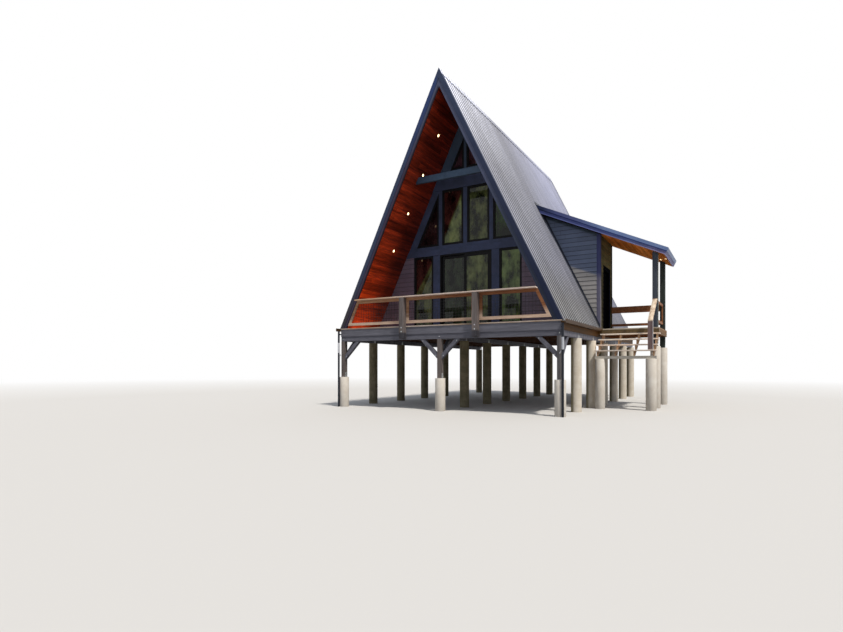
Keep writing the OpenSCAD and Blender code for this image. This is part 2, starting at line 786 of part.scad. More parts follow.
// The panel over the header, with an opening for each top window
module gable_panel() {
    color("darkslateblue")
    difference() {
        along_y([
            [-roof_x(gable_z0, wall_d), gable_z0], [roof_x(gable_z0, wall_d), gable_z0], [0, roof_z(0, wall_d)]
        ], wall_y0, wall_y1);
        both_sides() along_y(raked(top_post_half, gable_z0 + top_sill, top_stud_w), wall_y0 - 1, wall_y1 + 1);
    }
}
// A rectangular frame or pane, inset from its opening by the given width
function opening(x0, x1, z0, z1, w) = [[x0 + w, z0 + w], [x1 - w, z0 + w], [x1 - w, z1 - w], [x0 + w, z1 - w]];
// The outlines of the front windows on the right side, inset by the given width
function front_outlines(w) = [
    opening(low_win_in, low_win_out, deck_z + low_sill, beam_z0, w),
    opening(mid_post_half, up_win_out, upper_z0, upper_z1, w),
    raked(up_win_out + up_post_w + w, upper_z0 + w, rake_stud_w + w * stretch),
    raked(top_post_half + w, gable_z0 + top_sill + w, top_stud_w + w * stretch)
];
// The outlines of the back windows, inset by the given width
function back_outlines(w) = [
    opening(back_win_x, back_win_x + back_win_w, deck_z + back_sill, deck_z + back_sill + back_win_h, w),
    opening(-back_win_x - back_win_w, -back_win_x, deck_z + back_sill, deck_z + back_sill + back_win_h, w),
    opening(-back_win_w / 2, back_win_w / 2, deck_z + back_up_sill, deck_z + back_up_sill + back_up_h, w)
];
module window_frames() {
    color("black") {
        both_sides() for (i = [0:3])
            difference() {
                along_y(front_outlines(0)[i], wall_y0 + frame_back, wall_y0 + frame_back + frame_d);
                along_y(front_outlines(frame_w)[i], wall_y0, wall_y1);
            }
        for (i = [0:2])
            difference() {
                along_y(back_outlines(0)[i], back_frame_y, back_frame_y + frame_d);
                along_y(back_outlines(frame_w)[i], back_y0, back_y1);
            }
    }
}
module window_glass() {
    color("cadetblue") {
        both_sides() for (i = [0:3])
            along_y(front_outlines(frame_w)[i], glass_y, glass_y + glass_t);
        for (i = [0:2])
            along_y(back_outlines(frame_w)[i], back_frame_y + (frame_d - glass_t) / 2,
                back_frame_y + (frame_d + glass_t) / 2);
        block([door_in - door_w + stile_w, fixed_y + (panel_t - glass_t) / 2, door_z0 + door_rail_h],
            [door_in - stile_w, fixed_y + (panel_t + glass_t) / 2, door_z1 - stile_w]);
    }
}

// Sliding door: the right panel is fixed in front and the left one slides behind it
door_in = door_half - slide_frame_w;
door_w = door_in + stile_w / 2;
door_z0 = deck_z + track_h;
door_z1 = beam_z0 - slide_frame_w;
fixed_y = wall_y0 + frame_back;
slide_y = fixed_y + panel_t + 2 * clear;
// A door panel with its stiles and rails round the glass
module door_panel(x0, x1, z0, z1, y) {
    difference() {
        block([x0, y, z0], [x1, y + panel_t, z1]);
        block([x0 + stile_w, y - 1, z0 + door_rail_h], [x1 - stile_w, y + panel_t + 1, z1 - stile_w]);
    }
}
module slider_frame() {
    color("black") {
        both_sides() block([door_in, wall_y0, deck_z], [door_half, wall_y1, beam_z0]);
        block([-door_in, wall_y0, door_z1], [door_in, wall_y1, beam_z0]);
        block([-door_in, wall_y0, deck_z], [door_in, wall_y1, door_z0]);
        door_panel(door_in - door_w, door_in, door_z0, door_z1, fixed_y);
    }
}
module sliding_door() {
    color("black")
    door_panel(clear - door_in, door_w - door_in, door_z0 + clear, door_z1 - clear, slide_y);
}
module sliding_door_glass() {
    color("cadetblue")
    block([clear - door_in + stile_w, slide_y + (panel_t - glass_t) / 2, door_z0 + clear + door_rail_h],
        [door_w - door_in - stile_w, slide_y + (panel_t + glass_t) / 2, door_z1 - clear - stile_w]);
}

// The back wall fills the A behind the room, with lap siding on its outer face
module back_wall() {
    gable = [
        [-roof_x(deck_z, wall_d), deck_z], [roof_x(deck_z, wall_d), deck_z], [0, roof_z(0, wall_d)]
    ];
    color("slategray")
    difference() {
        union() {
            along_y(gable, back_y0, back_y1);
            intersection() {
                translate([0, 2 * back_y1, 0]) mirror([0, 1, 0])
                    laps_y(-half_base, half_base, deck_z, apex_z, back_y1);
                along_y(gable, back_y1, back_y1 + lap_t);
            }
        }
        for (i = [0:2])
            along_y(back_outlines(0)[i], back_y0 - 1, back_y1 + lap_t + 1);
    }
}
// Outline of a dormer end wall, between the main roof and the shed roof
function dormer_end(x) = [
    [x, roof_z(x, metal_d)], [x, shed_z(x, shed_wall_d)],
    [shed_join(shed_wall_d, metal_d), shed_z(shed_join(shed_wall_d, metal_d), shed_wall_d)]
];
module dormer_end_wall() {
    along_y(dormer_end(floor_half), dormer_y0, passage_y0);
    intersection() {
        laps_y(0, corner_x, deck_z, shed_z(0, 0), dormer_y0);
        along_y([
            [corner_x, roof_z(corner_x, -trim_t)], [corner_x, shed_z(corner_x, shed_wall_d)],
            [shed_join(shed_wall_d, -trim_t), shed_z(shed_join(shed_wall_d, -trim_t), shed_wall_d)]
        ], dormer_y0 - lap_t, dormer_y0);
    }
}
module dormer_end_walls() {
    color("slategray") {
        dormer_end_wall();
        translate([0, dormer_y0 + dormer_y1, 0]) mirror([0, 1, 0]) dormer_end_wall();
    }
}
// The outer wall of the dormer between two places along it, cut under the shed roof
module side_wall(y0, y1, z) {
    along_y([
        [dormer_x0, z], [floor_half, z], [floor_half, shed_z(floor_half, shed_wall_d)],
        [dormer_x0, shed_z(dormer_x0, shed_wall_d)]
    ], y0, y1);
}
module side_laps(y0, y1, z0) {
    translate([floor_half, 0, 0]) rotate([0, 0, 90])
        laps_y(y0, y1, z0, shed_z(floor_half + lap_t, shed_wall_d), 0);
}
module dormer_side_piers() {
    color("slategray") {
        side_wall(passage_y0, entry_y0, deck_z);
        side_laps(dormer_y0 + corner_w, entry_y0 - corner_w, side_lap_z);
        side_wall(entry_y1, passage_y1, deck_z);
        side_laps(entry_y1 + corner_w, dormer_y1 - corner_w, side_lap_z);
    }
}
module dormer_wall_over() {
    color("slategray") {
        side_wall(entry_y0, entry_y1, entry_z);
        side_laps(entry_y0 - corner_w, entry_y1 + corner_w, entry_z + corner_w);
    }
}
// Boards on the outer corners of the dormer and round its door
module corner_boards() {
    color("steelblue") {
        for (y = [dormer_y0 - lap_t, dormer_y1])
            along_y([
                [corner_x, roof_z(corner_x, -trim_t)], [floor_half, corner_z],
                [floor_half, shed_z(floor_half, shed_wall_d)], [corner_x, shed_z(corner_x, shed_wall_d)]
            ], y, y + lap_t);
        for (y = [dormer_y0 - lap_t, dormer_y1 - corner_w])
            block([floor_half, y, corner_z],
                [floor_half + lap_t, y + corner_w + lap_t, shed_z(floor_half + lap_t, shed_wall_d)]);
        for (y = [entry_y0 - corner_w, entry_y1])
            block([floor_half, y, corner_z], [floor_half + lap_t, y + corner_w, entry_z + corner_w]);
        block([floor_half, entry_y0, entry_z], [floor_half + lap_t, entry_y1, entry_z + corner_w]);
    }
}

module shed_roof_panel() {
    color("peru")
    shed_section(core_d, core_d + shed_core_t, shed_y0 + rake_t + seam, shed_y1 - rake_t - seam, rake_t + seam);
}
module shed_roof_metal() {
    color("darkslategray")
    on_shed() ribbed_sheet(shed_u(shed_join(metal_d, -seam), metal_d), shed_u(shed_eave_x, 0),
        shed_y0, shed_y1);
}
module shed_ceiling() {
    color("chocolate")
    intersection() {
        on_shed() grooved_boards(0, shed_u(shed_eave_x, 0) - rake_t - seam, shed_ceiling_d,
            shed_y0 + rake_t + seam, shed_y1 - rake_t - seam);
        shed_section(0, shed_inner_d + 1, shed_y0, shed_y1, 0);
    }
}

// Entry door: frame in the opening, and a leaf that swings into the passage
leaf_y0 = entry_y0 + entry_frame_w + clear;
leaf_y1 = entry_y1 - entry_frame_w - clear;
leaf_z0 = deck_z + sill_t + clear;
leaf_z1 = entry_z - entry_frame_w - clear;
hinge_x = dormer_x0 - hinge_r - clear;
module entry_frame() {
    color("black") {
        for (y = [entry_y0, entry_y1 - entry_frame_w])
            block([dormer_x0, y, deck_z], [floor_half, y + entry_frame_w, entry_z]);
        block([dormer_x0, entry_y0, entry_z - entry_frame_w], [floor_half, entry_y1, entry_z]);
        block([dormer_x0, entry_y0, deck_z], [floor_half, entry_y1, deck_z + sill_t]);
    }
}
module entry_door() {
    color("black")
    block([dormer_x0 + clear, leaf_y0, leaf_z0], [dormer_x0 + clear + leaf_t, leaf_y1, leaf_z1]);
}
// Knobs on both faces of the leaf, near its free edge
module entry_handle() {
    color("silver")
    for (s = [-1, 1])
        translate([dormer_x0 + clear + leaf_t / 2 + s * leaf_t / 2, leaf_y0 + knob_inset, deck_z + knob_z])
            rotate([0, s * 90, 0]) knob();
}
// A round knob turned about its axis: rose, neck and grip
module knob() {
    back = knob_reach - knob_t;
    rotate_extrude() polygon([
        [0, 0], [rose_d / 2, 0], [rose_d / 2, rose_t], [neck_d / 2, rose_t], [neck_d / 2, back],
        [knob_d / 2 - knob_round, back], [knob_d / 2, back + knob_round], [knob_d / 2, knob_reach - knob_round],
        [knob_d / 2 - knob_round, knob_reach], [0, knob_reach]
    ]);
}
// Places of the middle knuckles of the hinges along the leaf
hinge_zs = [leaf_z0 + hinge_end, (leaf_z0 + leaf_z1 - hinge_h) / 2, leaf_z1 - hinge_end - hinge_h];
// The middle knuckle of each hinge, on a plate that stands on the inner face of the leaf
module leaf_hinges() {
    color("dimgray")
    for (z = hinge_zs) {
        translate([hinge_x, leaf_y1, z]) cylinder(r = hinge_r, h = hinge_h);
        block([hinge_x, leaf_y1 - hinge_r, z], [dormer_x0 + clear, leaf_y1, z + hinge_h]);
    }
}
// The upper and lower knuckles of each hinge, on plates that stand on the inner face of the frame
module frame_hinges() {
    color("dimgray")
    for (z = hinge_zs, s = [-1, 1])
        translate([0, 0, z + s * (hinge_h + clear)]) {
            translate([hinge_x, leaf_y1, 0]) cylinder(r = hinge_r, h = hinge_h);
            block([hinge_x, leaf_y1, 0], [dormer_x0, entry_y1, hinge_h]);
        }
}

// Posts up to the ceiling of the porch, and the post of the stair rail on the lowest tread
module porch_posts() {
    x1 = porch_post_x + porch_post_w;
    color("dimgray") {
        for (y = porch_post_ys)
            along_y([
                [porch_post_x, porch_footing_h], [x1, porch_footing_h], [x1, shed_z(x1, shed_wall_d)],
                [porch_post_x, shed_z(porch_post_x, shed_wall_d)]
            ], y, y + porch_post_w);
        along_x([
            [newel_y, newel_z], [newel_y + post_w, newel_z],
            [newel_y + post_w, newel_top], [newel_y, newel_top - post_w * rail_pitch]
        ], newel_x, newel_x + post_w);
    }
}
// The sill under the foot of the stair
module stair_sill() {
    color("gray")
    block([stair_x0, stair_foot_y, stair_foot_z - sill_h], [stair_x1, stair_foot_y + post_w, stair_foot_z]);
}
// Cedar rails at the side and the back of the porch, and the sloping one on the stair
module porch_rails() {
    rail_x = porch_post_x + (porch_post_w - cedar_t) / 2;
    y0 = porch_post_ys[0] + porch_post_w;
    y1 = porch_post_ys[1];
    back_y = y1 + (porch_post_w - cedar_t) / 2;
    z0 = deck_z + porch_low_rail;
    color("chocolate") {
        difference() {
            block([rail_x, y0, z0], [rail_x + cedar_t, y1, rail_z]);
            block([rail_x - 1, y0 + cedar_w, z0 + cedar_w],
                [rail_x + cedar_t + 1, y1 - cedar_w, rail_z - cedar_w]);
        }
        for (z = [[z0, z0 + cedar_w], [rail_z - back_board_h, rail_z]])
            block([floor_half + lap_t, back_y, z[0]], [porch_post_x, back_y + cedar_t, z[1]]);
        translate([0, 0, seam]) along_x([
            [newel_y, newel_top - post_w * rail_pitch], [porch_post_ys[0], rail_z - cedar_t],
            [porch_post_ys[0], rail_z], [newel_y, newel_top - post_w * rail_pitch + cedar_t]
        ], newel_x, newel_x + post_w);
    }
}
// Cross-section of a stringer: notched over the treads and sloping underneath
function stringer_points() = concat(
    [[stair_foot_y + stringer_back, stair_foot_z]],
    [[porch_y0, porch_frame_z - stringer_back]],
    [[porch_y0, deck_z - step_rise - cedar_t]],
    [for (i = [1:tread_count], k = [0:1])
        [porch_y0 - i * step_run, max(stair_foot_z, deck_z - (i + k) * step_rise - cedar_t)]]
);
module stair_stringers() {
    color("sienna")
    for (x = spread(stair_x0 + stringer_inset, stair_x1 - stringer_inset - lumber_t,
        (stair_x1 - stair_x0 - 2 * stringer_inset - lumber_t) / (stringer_count - 1)))
        along_x(stringer_points(), x, x + lumber_t);
}
module stair_treads() {
    color("burlywood")
    for (i = [1:tread_count])
        block([stair_x0, porch_y0 - i * step_run - nosing, deck_z - i * step_rise - cedar_t],
            [stair_x1, porch_y0 - (i - 1) * step_run - deck_gap, deck_z - i * step_rise]);
}

// The two posts of the front rail, bolted to the face of the rim
module rail_posts() {
    color("dimgray")
    both_sides()
        block([rail_post_x - rail_post_w / 2, -rail_post_w, frame_bottom - rail_post_drop],
            [rail_post_x + rail_post_w / 2, 0, rail_z - cedar_t]);
}
// The cap and the framed bays of the front rail, cut to the slope of the rakes
module front_rail() {
    z0 = deck_z + rail_gap;
    z1 = rail_z - cedar_t;
    color("chocolate") {
        along_y([
            [-roof_x(z1, wall_d), z1], [roof_x(z1, wall_d), z1],
            [roof_x(rail_z, wall_d), rail_z], [-roof_x(rail_z, wall_d), rail_z]
        ], -rail_post_w - cap_over, cedar_t);
        difference() {
            along_y([
                [-roof_x(z0, wall_d), z0], [roof_x(z0, wall_d), z0],
                [roof_x(z1, wall_d), z1], [-roof_x(z1, wall_d), z1]
            ], 0, cedar_t);
            both_sides() along_y(side_bay(z0 + cedar_w, z1 - cedar_w, 0), -1, cedar_t + 1);
            along_y(middle_bay(z0 + cedar_w, z1 - cedar_w, 0), -1, cedar_t + 1);
        }
    }
}
// Outline of the open part of a side bay of the front rail, inset by the width w
function side_bay(z0, z1, w) = let (x = rail_post_x + rail_post_w / 2 + cedar_w + w, d = wall_d + cedar_w + w) [
    [x, z0 + w], [roof_x(z0 + w, d), z0 + w], [roof_x(z1 - w, d), z1 - w], [x, z1 - w]
];
// Outline of the open part of the middle bay, inset by the width w
function middle_bay(z0, z1, w) = let (x = rail_post_x - rail_post_w / 2 - cedar_w - w) [
    [-x, z0 + w], [x, z0 + w], [x, z1 - w], [-x, z1 - w]
];
// Black wire mesh in the bays of the front rail
module wires(x0, x1, z0, z1) {
    for (x = spread(x0, x1, mesh_pitch))
        block([x - wire_t / 2, cedar_t / 2 - wire_t, z0], [x + wire_t / 2, cedar_t / 2 + 1, z1]);
    for (z = spread(z0, z1, mesh_pitch))
        block([x0, cedar_t / 2, z - wire_t / 2], [x1, cedar_t / 2 + wire_t, z + wire_t / 2]);
}
module rail_mesh() {
    z0 = deck_z + rail_gap + cedar_w;
    z1 = rail_z - cedar_t - cedar_w;
    side = side_bay(z0, z1, seam);
    middle = middle_bay(z0, z1, seam);
    color("black") {
        both_sides() intersection() {
            wires(side[0][0], side[1][0], z0, z1);
            along_y(side, 0, cedar_t);
        }
        intersection() {
            wires(middle[0][0], middle[1][0], z0, z1);
            along_y(middle, 0, cedar_t);
        }
    }
}
// Cross-section of a gutter against the side of the floor, and the plate that closes its ends
function gutter_back() = [floor_half, gutter_bottom];
function gutter_plate() = [
    gutter_back(), gutter_back() + [gutter_w, 0], gutter_back() + [gutter_w, gutter_back_h],
    gutter_back() + [0, gutter_back_h]
];
function gutter_sheet() = [
    gutter_back(), gutter_back() + [gutter_w, 0], gutter_back() + [gutter_w, gutter_h],
    gutter_back() + [gutter_w - gutter_lip, gutter_h], gutter_back() + [gutter_w - gutter_lip, gutter_h - trim_t],
    gutter_back() + [gutter_w - trim_t, gutter_h - trim_t], gutter_back() + [gutter_w - trim_t, trim_t],
    gutter_back() + [trim_t, trim_t], gutter_back() + [trim_t, gutter_back_h],
    gutter_back() + [0, gutter_back_h]
];
module gutter(y0, y1) {
    along_y(gutter_sheet(), y0, y1);
    along_y(gutter_plate(), y0, y0 + trim_t);
    along_y(gutter_plate(), y1 - trim_t, y1);
}
// Gutters under the feet of both slopes, which stop at the porch
module gutters() {
    color("saddlebrown") {
        mirror([1, 0, 0]) gutter(gutter_y0, roof_len);
        gutter(gutter_y0, porch_y0 - clear);
        gutter(porch_y1 + clear, roof_len);
    }
}
// Downpipes under the front ends of the gutters, each with a strap to the floor frame
module downpipes() {
    z = frame_bottom + strap_z;
    color("black")
    both_sides() {
        translate([pipe_x, pipe_y, 0]) cylinder(d = pipe_d, h = gutter_bottom);
        block([floor_half, pipe_y - strap_w / 2, z], [pipe_x, pipe_y + strap_w / 2, z + strap_h]);
        block([floor_half, pipe_y, z], [floor_half + strap_t, pipe_y + strap_w / 2 + strap_len, z + strap_h]);
    }
}

post_footings();
left_piers();
middle_piers();
right_piers();
deck_posts();
knee_braces();
floor_beams();
floor_joists();
front_rim();
deck_boards();
house_floor();
left_roof_panel();
right_roof_front();
right_roof_rear();
right_roof_upper();
left_roof_metal();
right_roof_metal();
ridge_cap();
rake_boards();
trim_metal();
left_ceiling();
right_ceiling();
ceiling_lights();
tie_beam();
front_wall_left();
front_wall_right();
front_beams();
front_posts();
gable_panel();
window_frames();
window_glass();
slider_frame();
sliding_door();
sliding_door_glass();
back_wall();
dormer_end_walls();
dormer_side_piers();
dormer_wall_over();
corner_boards();
shed_roof_panel();
shed_roof_metal();
shed_ceiling();
entry_frame();
entry_door();
entry_handle();
leaf_hinges();
frame_hinges();
rim_boards();
porch_posts();
stair_sill();
porch_rails();
stair_stringers();
stair_treads();
front_rail();
rail_posts();
rail_mesh();
gutters();
downpipes();
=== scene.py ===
import math

import bmesh
import bpy
from mathutils import Matrix, Vector


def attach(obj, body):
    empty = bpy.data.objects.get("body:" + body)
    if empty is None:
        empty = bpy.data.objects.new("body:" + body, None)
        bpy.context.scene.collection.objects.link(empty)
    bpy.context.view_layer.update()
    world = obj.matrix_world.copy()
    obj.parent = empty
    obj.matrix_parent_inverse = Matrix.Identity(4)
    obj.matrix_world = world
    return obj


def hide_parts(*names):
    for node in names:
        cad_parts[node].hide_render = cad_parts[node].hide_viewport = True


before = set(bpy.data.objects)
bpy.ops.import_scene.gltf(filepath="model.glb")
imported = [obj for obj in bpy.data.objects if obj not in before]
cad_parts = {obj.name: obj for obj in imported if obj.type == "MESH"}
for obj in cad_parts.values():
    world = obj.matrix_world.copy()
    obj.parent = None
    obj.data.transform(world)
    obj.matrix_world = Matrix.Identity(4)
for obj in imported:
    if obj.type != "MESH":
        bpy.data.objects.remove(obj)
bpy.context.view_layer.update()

# Sizes of the house that its trim follows, in metres
DECK = 2.58
APEX = 10.24
HALF_BASE = 3.715
LENGTH = 11.2
FLOOR_HALF = 3.69
RUN = HALF_BASE / (APEX - DECK)
STRETCH = math.hypot(1, RUN)
SLOPE = math.atan(1 / RUN)
SLOPE_LENGTH = (APEX - DECK) * STRETCH
DORMER_Y = (4.6, 6.55)
PORCH_Y = 4.38
PORCH_POST_X = (5.347, 5.512)
PORCH_POST_Y = (4.5005, 6.4295)
GIRDER_X = 3.62
RAIL_POST_X = 1.23
RAIL_POST_WIDTH = 0.165
PIER_PITCH = 1.85
PIER_Y = [1.75 + PIER_PITCH * i for i in range(6)]
STEP_RISE = 0.185
STEP_RUN = 0.275

# Roof metal, and layers of the roof as depths under the tops of its ribs
RIB = 0.019
RIB_FOOT = 0.044
RIB_PITCH = 0.228
RIB_SHIFT = (LENGTH - 48 * RIB_PITCH) / 2 / RIB_PITCH
METAL_DEPTH = 0.021
CEILING_DEPTH = 0.218
CEILING_FACE = 0.2375

# Shed roof over the dormer and the porch. Its level is its height measured square to its slope
SHED_ANGLE = math.radians(24.75)
SHED_EAVE = 5.83
SHED_TOP = 5.05 + SHED_EAVE * math.tan(SHED_ANGLE)
SHED_Y = (4.3, 6.85)
SHED_INNER = 0.225
SHED_SLANT = (math.sin(SHED_ANGLE), 0.0, math.cos(SHED_ANGLE))
SHED_LEVEL = SHED_TOP * math.cos(SHED_ANGLE)

# Sheet trim: its width on a rake's face, how far it stands out in front and at the back, its
# thickness, and the lift that keeps it clear of what it covers
TRIM_WIDTH = 0.129
TRIM_FACE = 0.014
BACK_FACE = 0.0034
LIFT = 0.0005
SHEET = 0.003

# Boards as they are bought
BOARD = 0.14
BOARD_PITCH = 0.145
BOARD_LENGTH = 3.66
CEDAR_LENGTH = 2.9
LAP = 0.152


def placed(name, data):
    """Puts a mesh, a lamp or a camera in the scene."""
    thing = bpy.data.objects.new(name, data)
    bpy.context.scene.collection.objects.link(thing)
    return thing


def photo_camera():
    """The photograph was taken from low down, in front of the house and to its right."""
    data = bpy.data.cameras.new("photo_camera")
    data.sensor_width = 36
    data.lens = 23.247
    data.shift_y = 0.059
    data.clip_end = 400
    camera = placed("photo_camera", data)
    camera.location = (7.7065, -14.2943, 1.3526)
    camera.rotation_euler = (math.radians(90), 0, math.radians(30.165))
    bpy.context.scene.camera = camera


photo_camera()


# Node trees

def linear(code):
    """A sRGB hex colour as the linear values that a shader takes."""
    parts = [int(code[i:i + 2], 16) / 255 for i in (1, 3, 5)]
    return [c / 12.92 if c <= 0.04045 else ((c + 0.055) / 1.055) ** 2.4 for c in parts] + [1.0]


def add(tree, kind, sockets=(), **settings):
    """Adds a node, sets its options, and fills or links its input sockets, given by name or in their order.
    A node given as a value is linked by its first output."""
    node = tree.nodes.new("ShaderNode" + kind)
    for name, value in settings.items():
        setattr(node, name, value)
    for name, value in sockets.items() if isinstance(sockets, dict) else enumerate(sockets):
        if isinstance(value, bpy.types.Node):
            value = value.outputs[0]
        if isinstance(value, bpy.types.NodeSocket):
            tree.links.new(value, node.inputs[name])
        else:
            node.inputs[name].default_value = value
    return node


def bare_material(name):
    """A new material, its tree, and the place of each point in the frame of the house."""
    material = bpy.data.materials.new(name)
    material.use_nodes = True
    tree = material.node_tree
    tree.nodes.clear()
    return material, tree, add(tree, "TexCoord").outputs["Object"]


def finished(material, colour, **sockets):
    """Gives a material its principled shader. The name of a socket has _ for each space."""
    named = {name.replace("_", " "): value for name, value in sockets.items()}
    shader = add(material.node_tree, "BsdfPrincipled", {"Base Color": colour, **named})
    add(material.node_tree, "OutputMaterial", {"Surface": shader})
    return material


def blended(tree, amount, first, second, mode="MIX"):
    """The colour between two others, or one laid over the other."""
    return add(tree, "Mix", {0: amount, 6: first, 7: second}, data_type="RGBA", blend_type=mode).outputs[2]


# Most tints given to this function below paint light and shade into a finish by place on the house: sunlit
# patches, shade, highlights and reflections
def tinted_by_place(material, *tints):
    """Multiplies a finish by each tint, in full at the end of each of its spans and not at all at its start.
    A span runs along X, Y, Z, a direction, or D, the depth under the surface of the main roof."""
    tree = material.node_tree
    shader = next(n for n in tree.nodes if n.type == "BSDF_PRINCIPLED")
    place = add(tree, "TexCoord").outputs["Object"]
    axes = add(tree, "SeparateXYZ", (place,))
    side = add(tree, "Math", (axes,), operation="ABSOLUTE")
    depth = add(tree, "Math", (axes.outputs[2], RUN, side), operation="MULTIPLY_ADD")
    depth = add(tree, "Math", (depth, -1 / STRETCH, APEX * RUN / STRETCH), operation="MULTIPLY_ADD")
    places = dict(zip("XYZD", (*axes.outputs, depth)))
    for tint, *spans in tints:
        amount = 1.0
        for axis, start, end in spans:
            if axis not in places:
                places[axis] = add(tree, "VectorMath", (place, axis), operation="DOT_PRODUCT").outputs[1]
            low, high = sorted((start, end))
            ramp = add(tree, "MapRange", (places[axis], low, high, float(start > end), float(start < end)))
            amount = add(tree, "Math", (ramp, amount), operation="MULTIPLY")
        colour = shader.inputs["Base Color"].links[0].from_socket
        tree.links.new(blended(tree, amount, colour, (*tint, 1.0), "MULTIPLY"), shader.inputs["Base Color"])
    return material


# Materials. The sockets of a map range are its value, from min, from max, to min and to max

def timber(name, pale, dark, along, grain=0.014, rough=0.62, boards=None, uneven=0.12, knots=0.0, gloss=0.2):
    """Sawn boards: long soft streaks along the grain and, where boards lie side by side, a tone for each one.
    Lines of real grain, 1 to 3 mm wide, would be lost, so the streaks are drawn 10 to 20 mm wide."""
    material, tree, place = bare_material(name)
    length = 1 / (grain * 22)
    scales = [length if axis in along else 1 / grain for axis in "XYZ"]
    streaks = add(tree, "VectorMath", (place, scales), operation="MULTIPLY")
    fine = add(tree, "TexNoise", {"Vector": streaks, "Scale": 1.0, "Detail": 5.0, "Roughness": 0.62})
    broad = add(tree, "TexNoise", {"Vector": streaks, "Scale": 0.13, "Detail": 3.0, "Roughness": 0.55})
    weight = add(tree, "Math", (fine, broad), operation="MULTIPLY")
    weight = add(tree, "MapRange", (weight, 0.14, 0.36))
    colour = blended(tree, weight, linear(dark), linear(pale))
    if boards:
        direction, offset, width, run, run_length = boards
        step = add(tree, "VectorMath", (place, direction), operation="DOT_PRODUCT").outputs["Value"]
        step = add(tree, "Math", (step, offset), operation="SUBTRACT")
        step = add(tree, "Math", (step, width), operation="DIVIDE")
        step = add(tree, "Math", (step,), operation="FLOOR")
        shift = add(tree, "TexWhiteNoise", {"W": step}, noise_dimensions="1D")
        piece = add(tree, "VectorMath", (place, run), operation="DOT_PRODUCT").outputs["Value"]
        piece = add(tree, "Math", (piece, run_length), operation="DIVIDE")
        piece = add(tree, "Math", (piece, shift), operation="ADD")
        whole = add(tree, "Math", (piece,), operation="FLOOR")
        both = add(tree, "CombineXYZ", (step, whole))
        tone = add(tree, "TexWhiteNoise", {"Vector": both}, noise_dimensions="2D")
        tone = add(tree, "MapRange", (tone, 0, 1, 1 - 2.4 * uneven, 1 + 1.6 * uneven))
        colour = blended(tree, 1.0, colour, tone, "MULTIPLY")
        seam = add(tree, "Math", (piece, whole), operation="SUBTRACT")
        seam = add(tree, "Math", (seam, 0.004 / run_length), operation="LESS_THAN")
        colour = blended(tree, seam, colour, linear("#120c09"))
    if knots:
        spread = [0.35 * s if s == length else s / 9 for s in scales]
        spots = add(tree, "VectorMath", (place, spread), operation="MULTIPLY")
        spots = add(tree, "TexVoronoi", {"Vector": spots, "Scale": 1.0})
        spots = add(tree, "MapRange", (spots, 0, knots, 0.75, 0))
        colour = blended(tree, spots, colour, linear(dark))
    bump = add(tree, "Bump", {"Height": fine, "Strength": 0.25, "Distance": 0.0015})
    matt = add(tree, "MapRange", (fine, 0, 1, rough - 0.08, rough + 0.1))
    return finished(material, colour, Normal=bump, Roughness=matt, Specular_IOR_Level=gloss)


def lap_siding(name, pale, dark, along, line=0.0, gloss=0.4):
    """Painted fibre cement laps: a faint pressed grain, courses a shade apart and fine joints between boards.
    Under each lap a painted shadow 20 mm high, as dark as line sets it, since a real 6 mm gap is lost at this
    distance."""
    material, tree, place = bare_material(name)
    painted_lap_shade_share = 0.13
    scales = [5.0 if axis == along else 140.0 for axis in "XYZ"]
    streaks = add(tree, "VectorMath", (place, scales), operation="MULTIPLY")
    grain = add(tree, "TexNoise", {"Vector": streaks, "Scale": 1.0, "Detail": 4.0, "Roughness": 0.6})
    cloud = add(tree, "TexNoise", {"Vector": place, "Scale": 0.9, "Detail": 4.0, "Roughness": 0.6})
    axes = add(tree, "SeparateXYZ", (place,))
    course = add(tree, "Math", (axes.outputs[2], DECK), operation="SUBTRACT")
    course = add(tree, "Math", (course, LAP), operation="DIVIDE")
    # gap below is the painted shadow at the top of each course, under the lap above it
    gap = add(tree, "Math", (course,), operation="FRACT")
    gap = add(tree, "Math", (gap, 1 - painted_lap_shade_share), operation="GREATER_THAN")
    gap = add(tree, "Math", (gap, line), operation="MULTIPLY")
    course = add(tree, "Math", (course,), operation="FLOOR")
    shift = add(tree, "TexWhiteNoise", {"W": course}, noise_dimensions="1D")
    piece = add(tree, "Math", (axes.outputs["XYZ".index(along)], BOARD_LENGTH), operation="DIVIDE")
    piece = add(tree, "Math", (piece, shift), operation="ADD")
    joint = add(tree, "Math", (piece,), operation="FRACT")
    joint = add(tree, "Math", (joint, 0.0012), operation="LESS_THAN")
    tone = add(tree, "Math", (shift, 0.3, cloud), operation="MULTIPLY_ADD")
    tone = add(tree, "MapRange", (tone, 0.35, 0.95))
    colour = blended(tree, tone, linear(dark), linear(pale))
    colour = blended(tree, joint, colour, linear("#17181d"))
    colour = blended(tree, gap, colour, linear("#0c0d10"))
    bump = add(tree, "Bump", {"Height": grain, "Strength": 0.22, "Distance": 0.001})
    return finished(material, colour, Normal=bump, Roughness=0.58, Specular_IOR_Level=gloss)


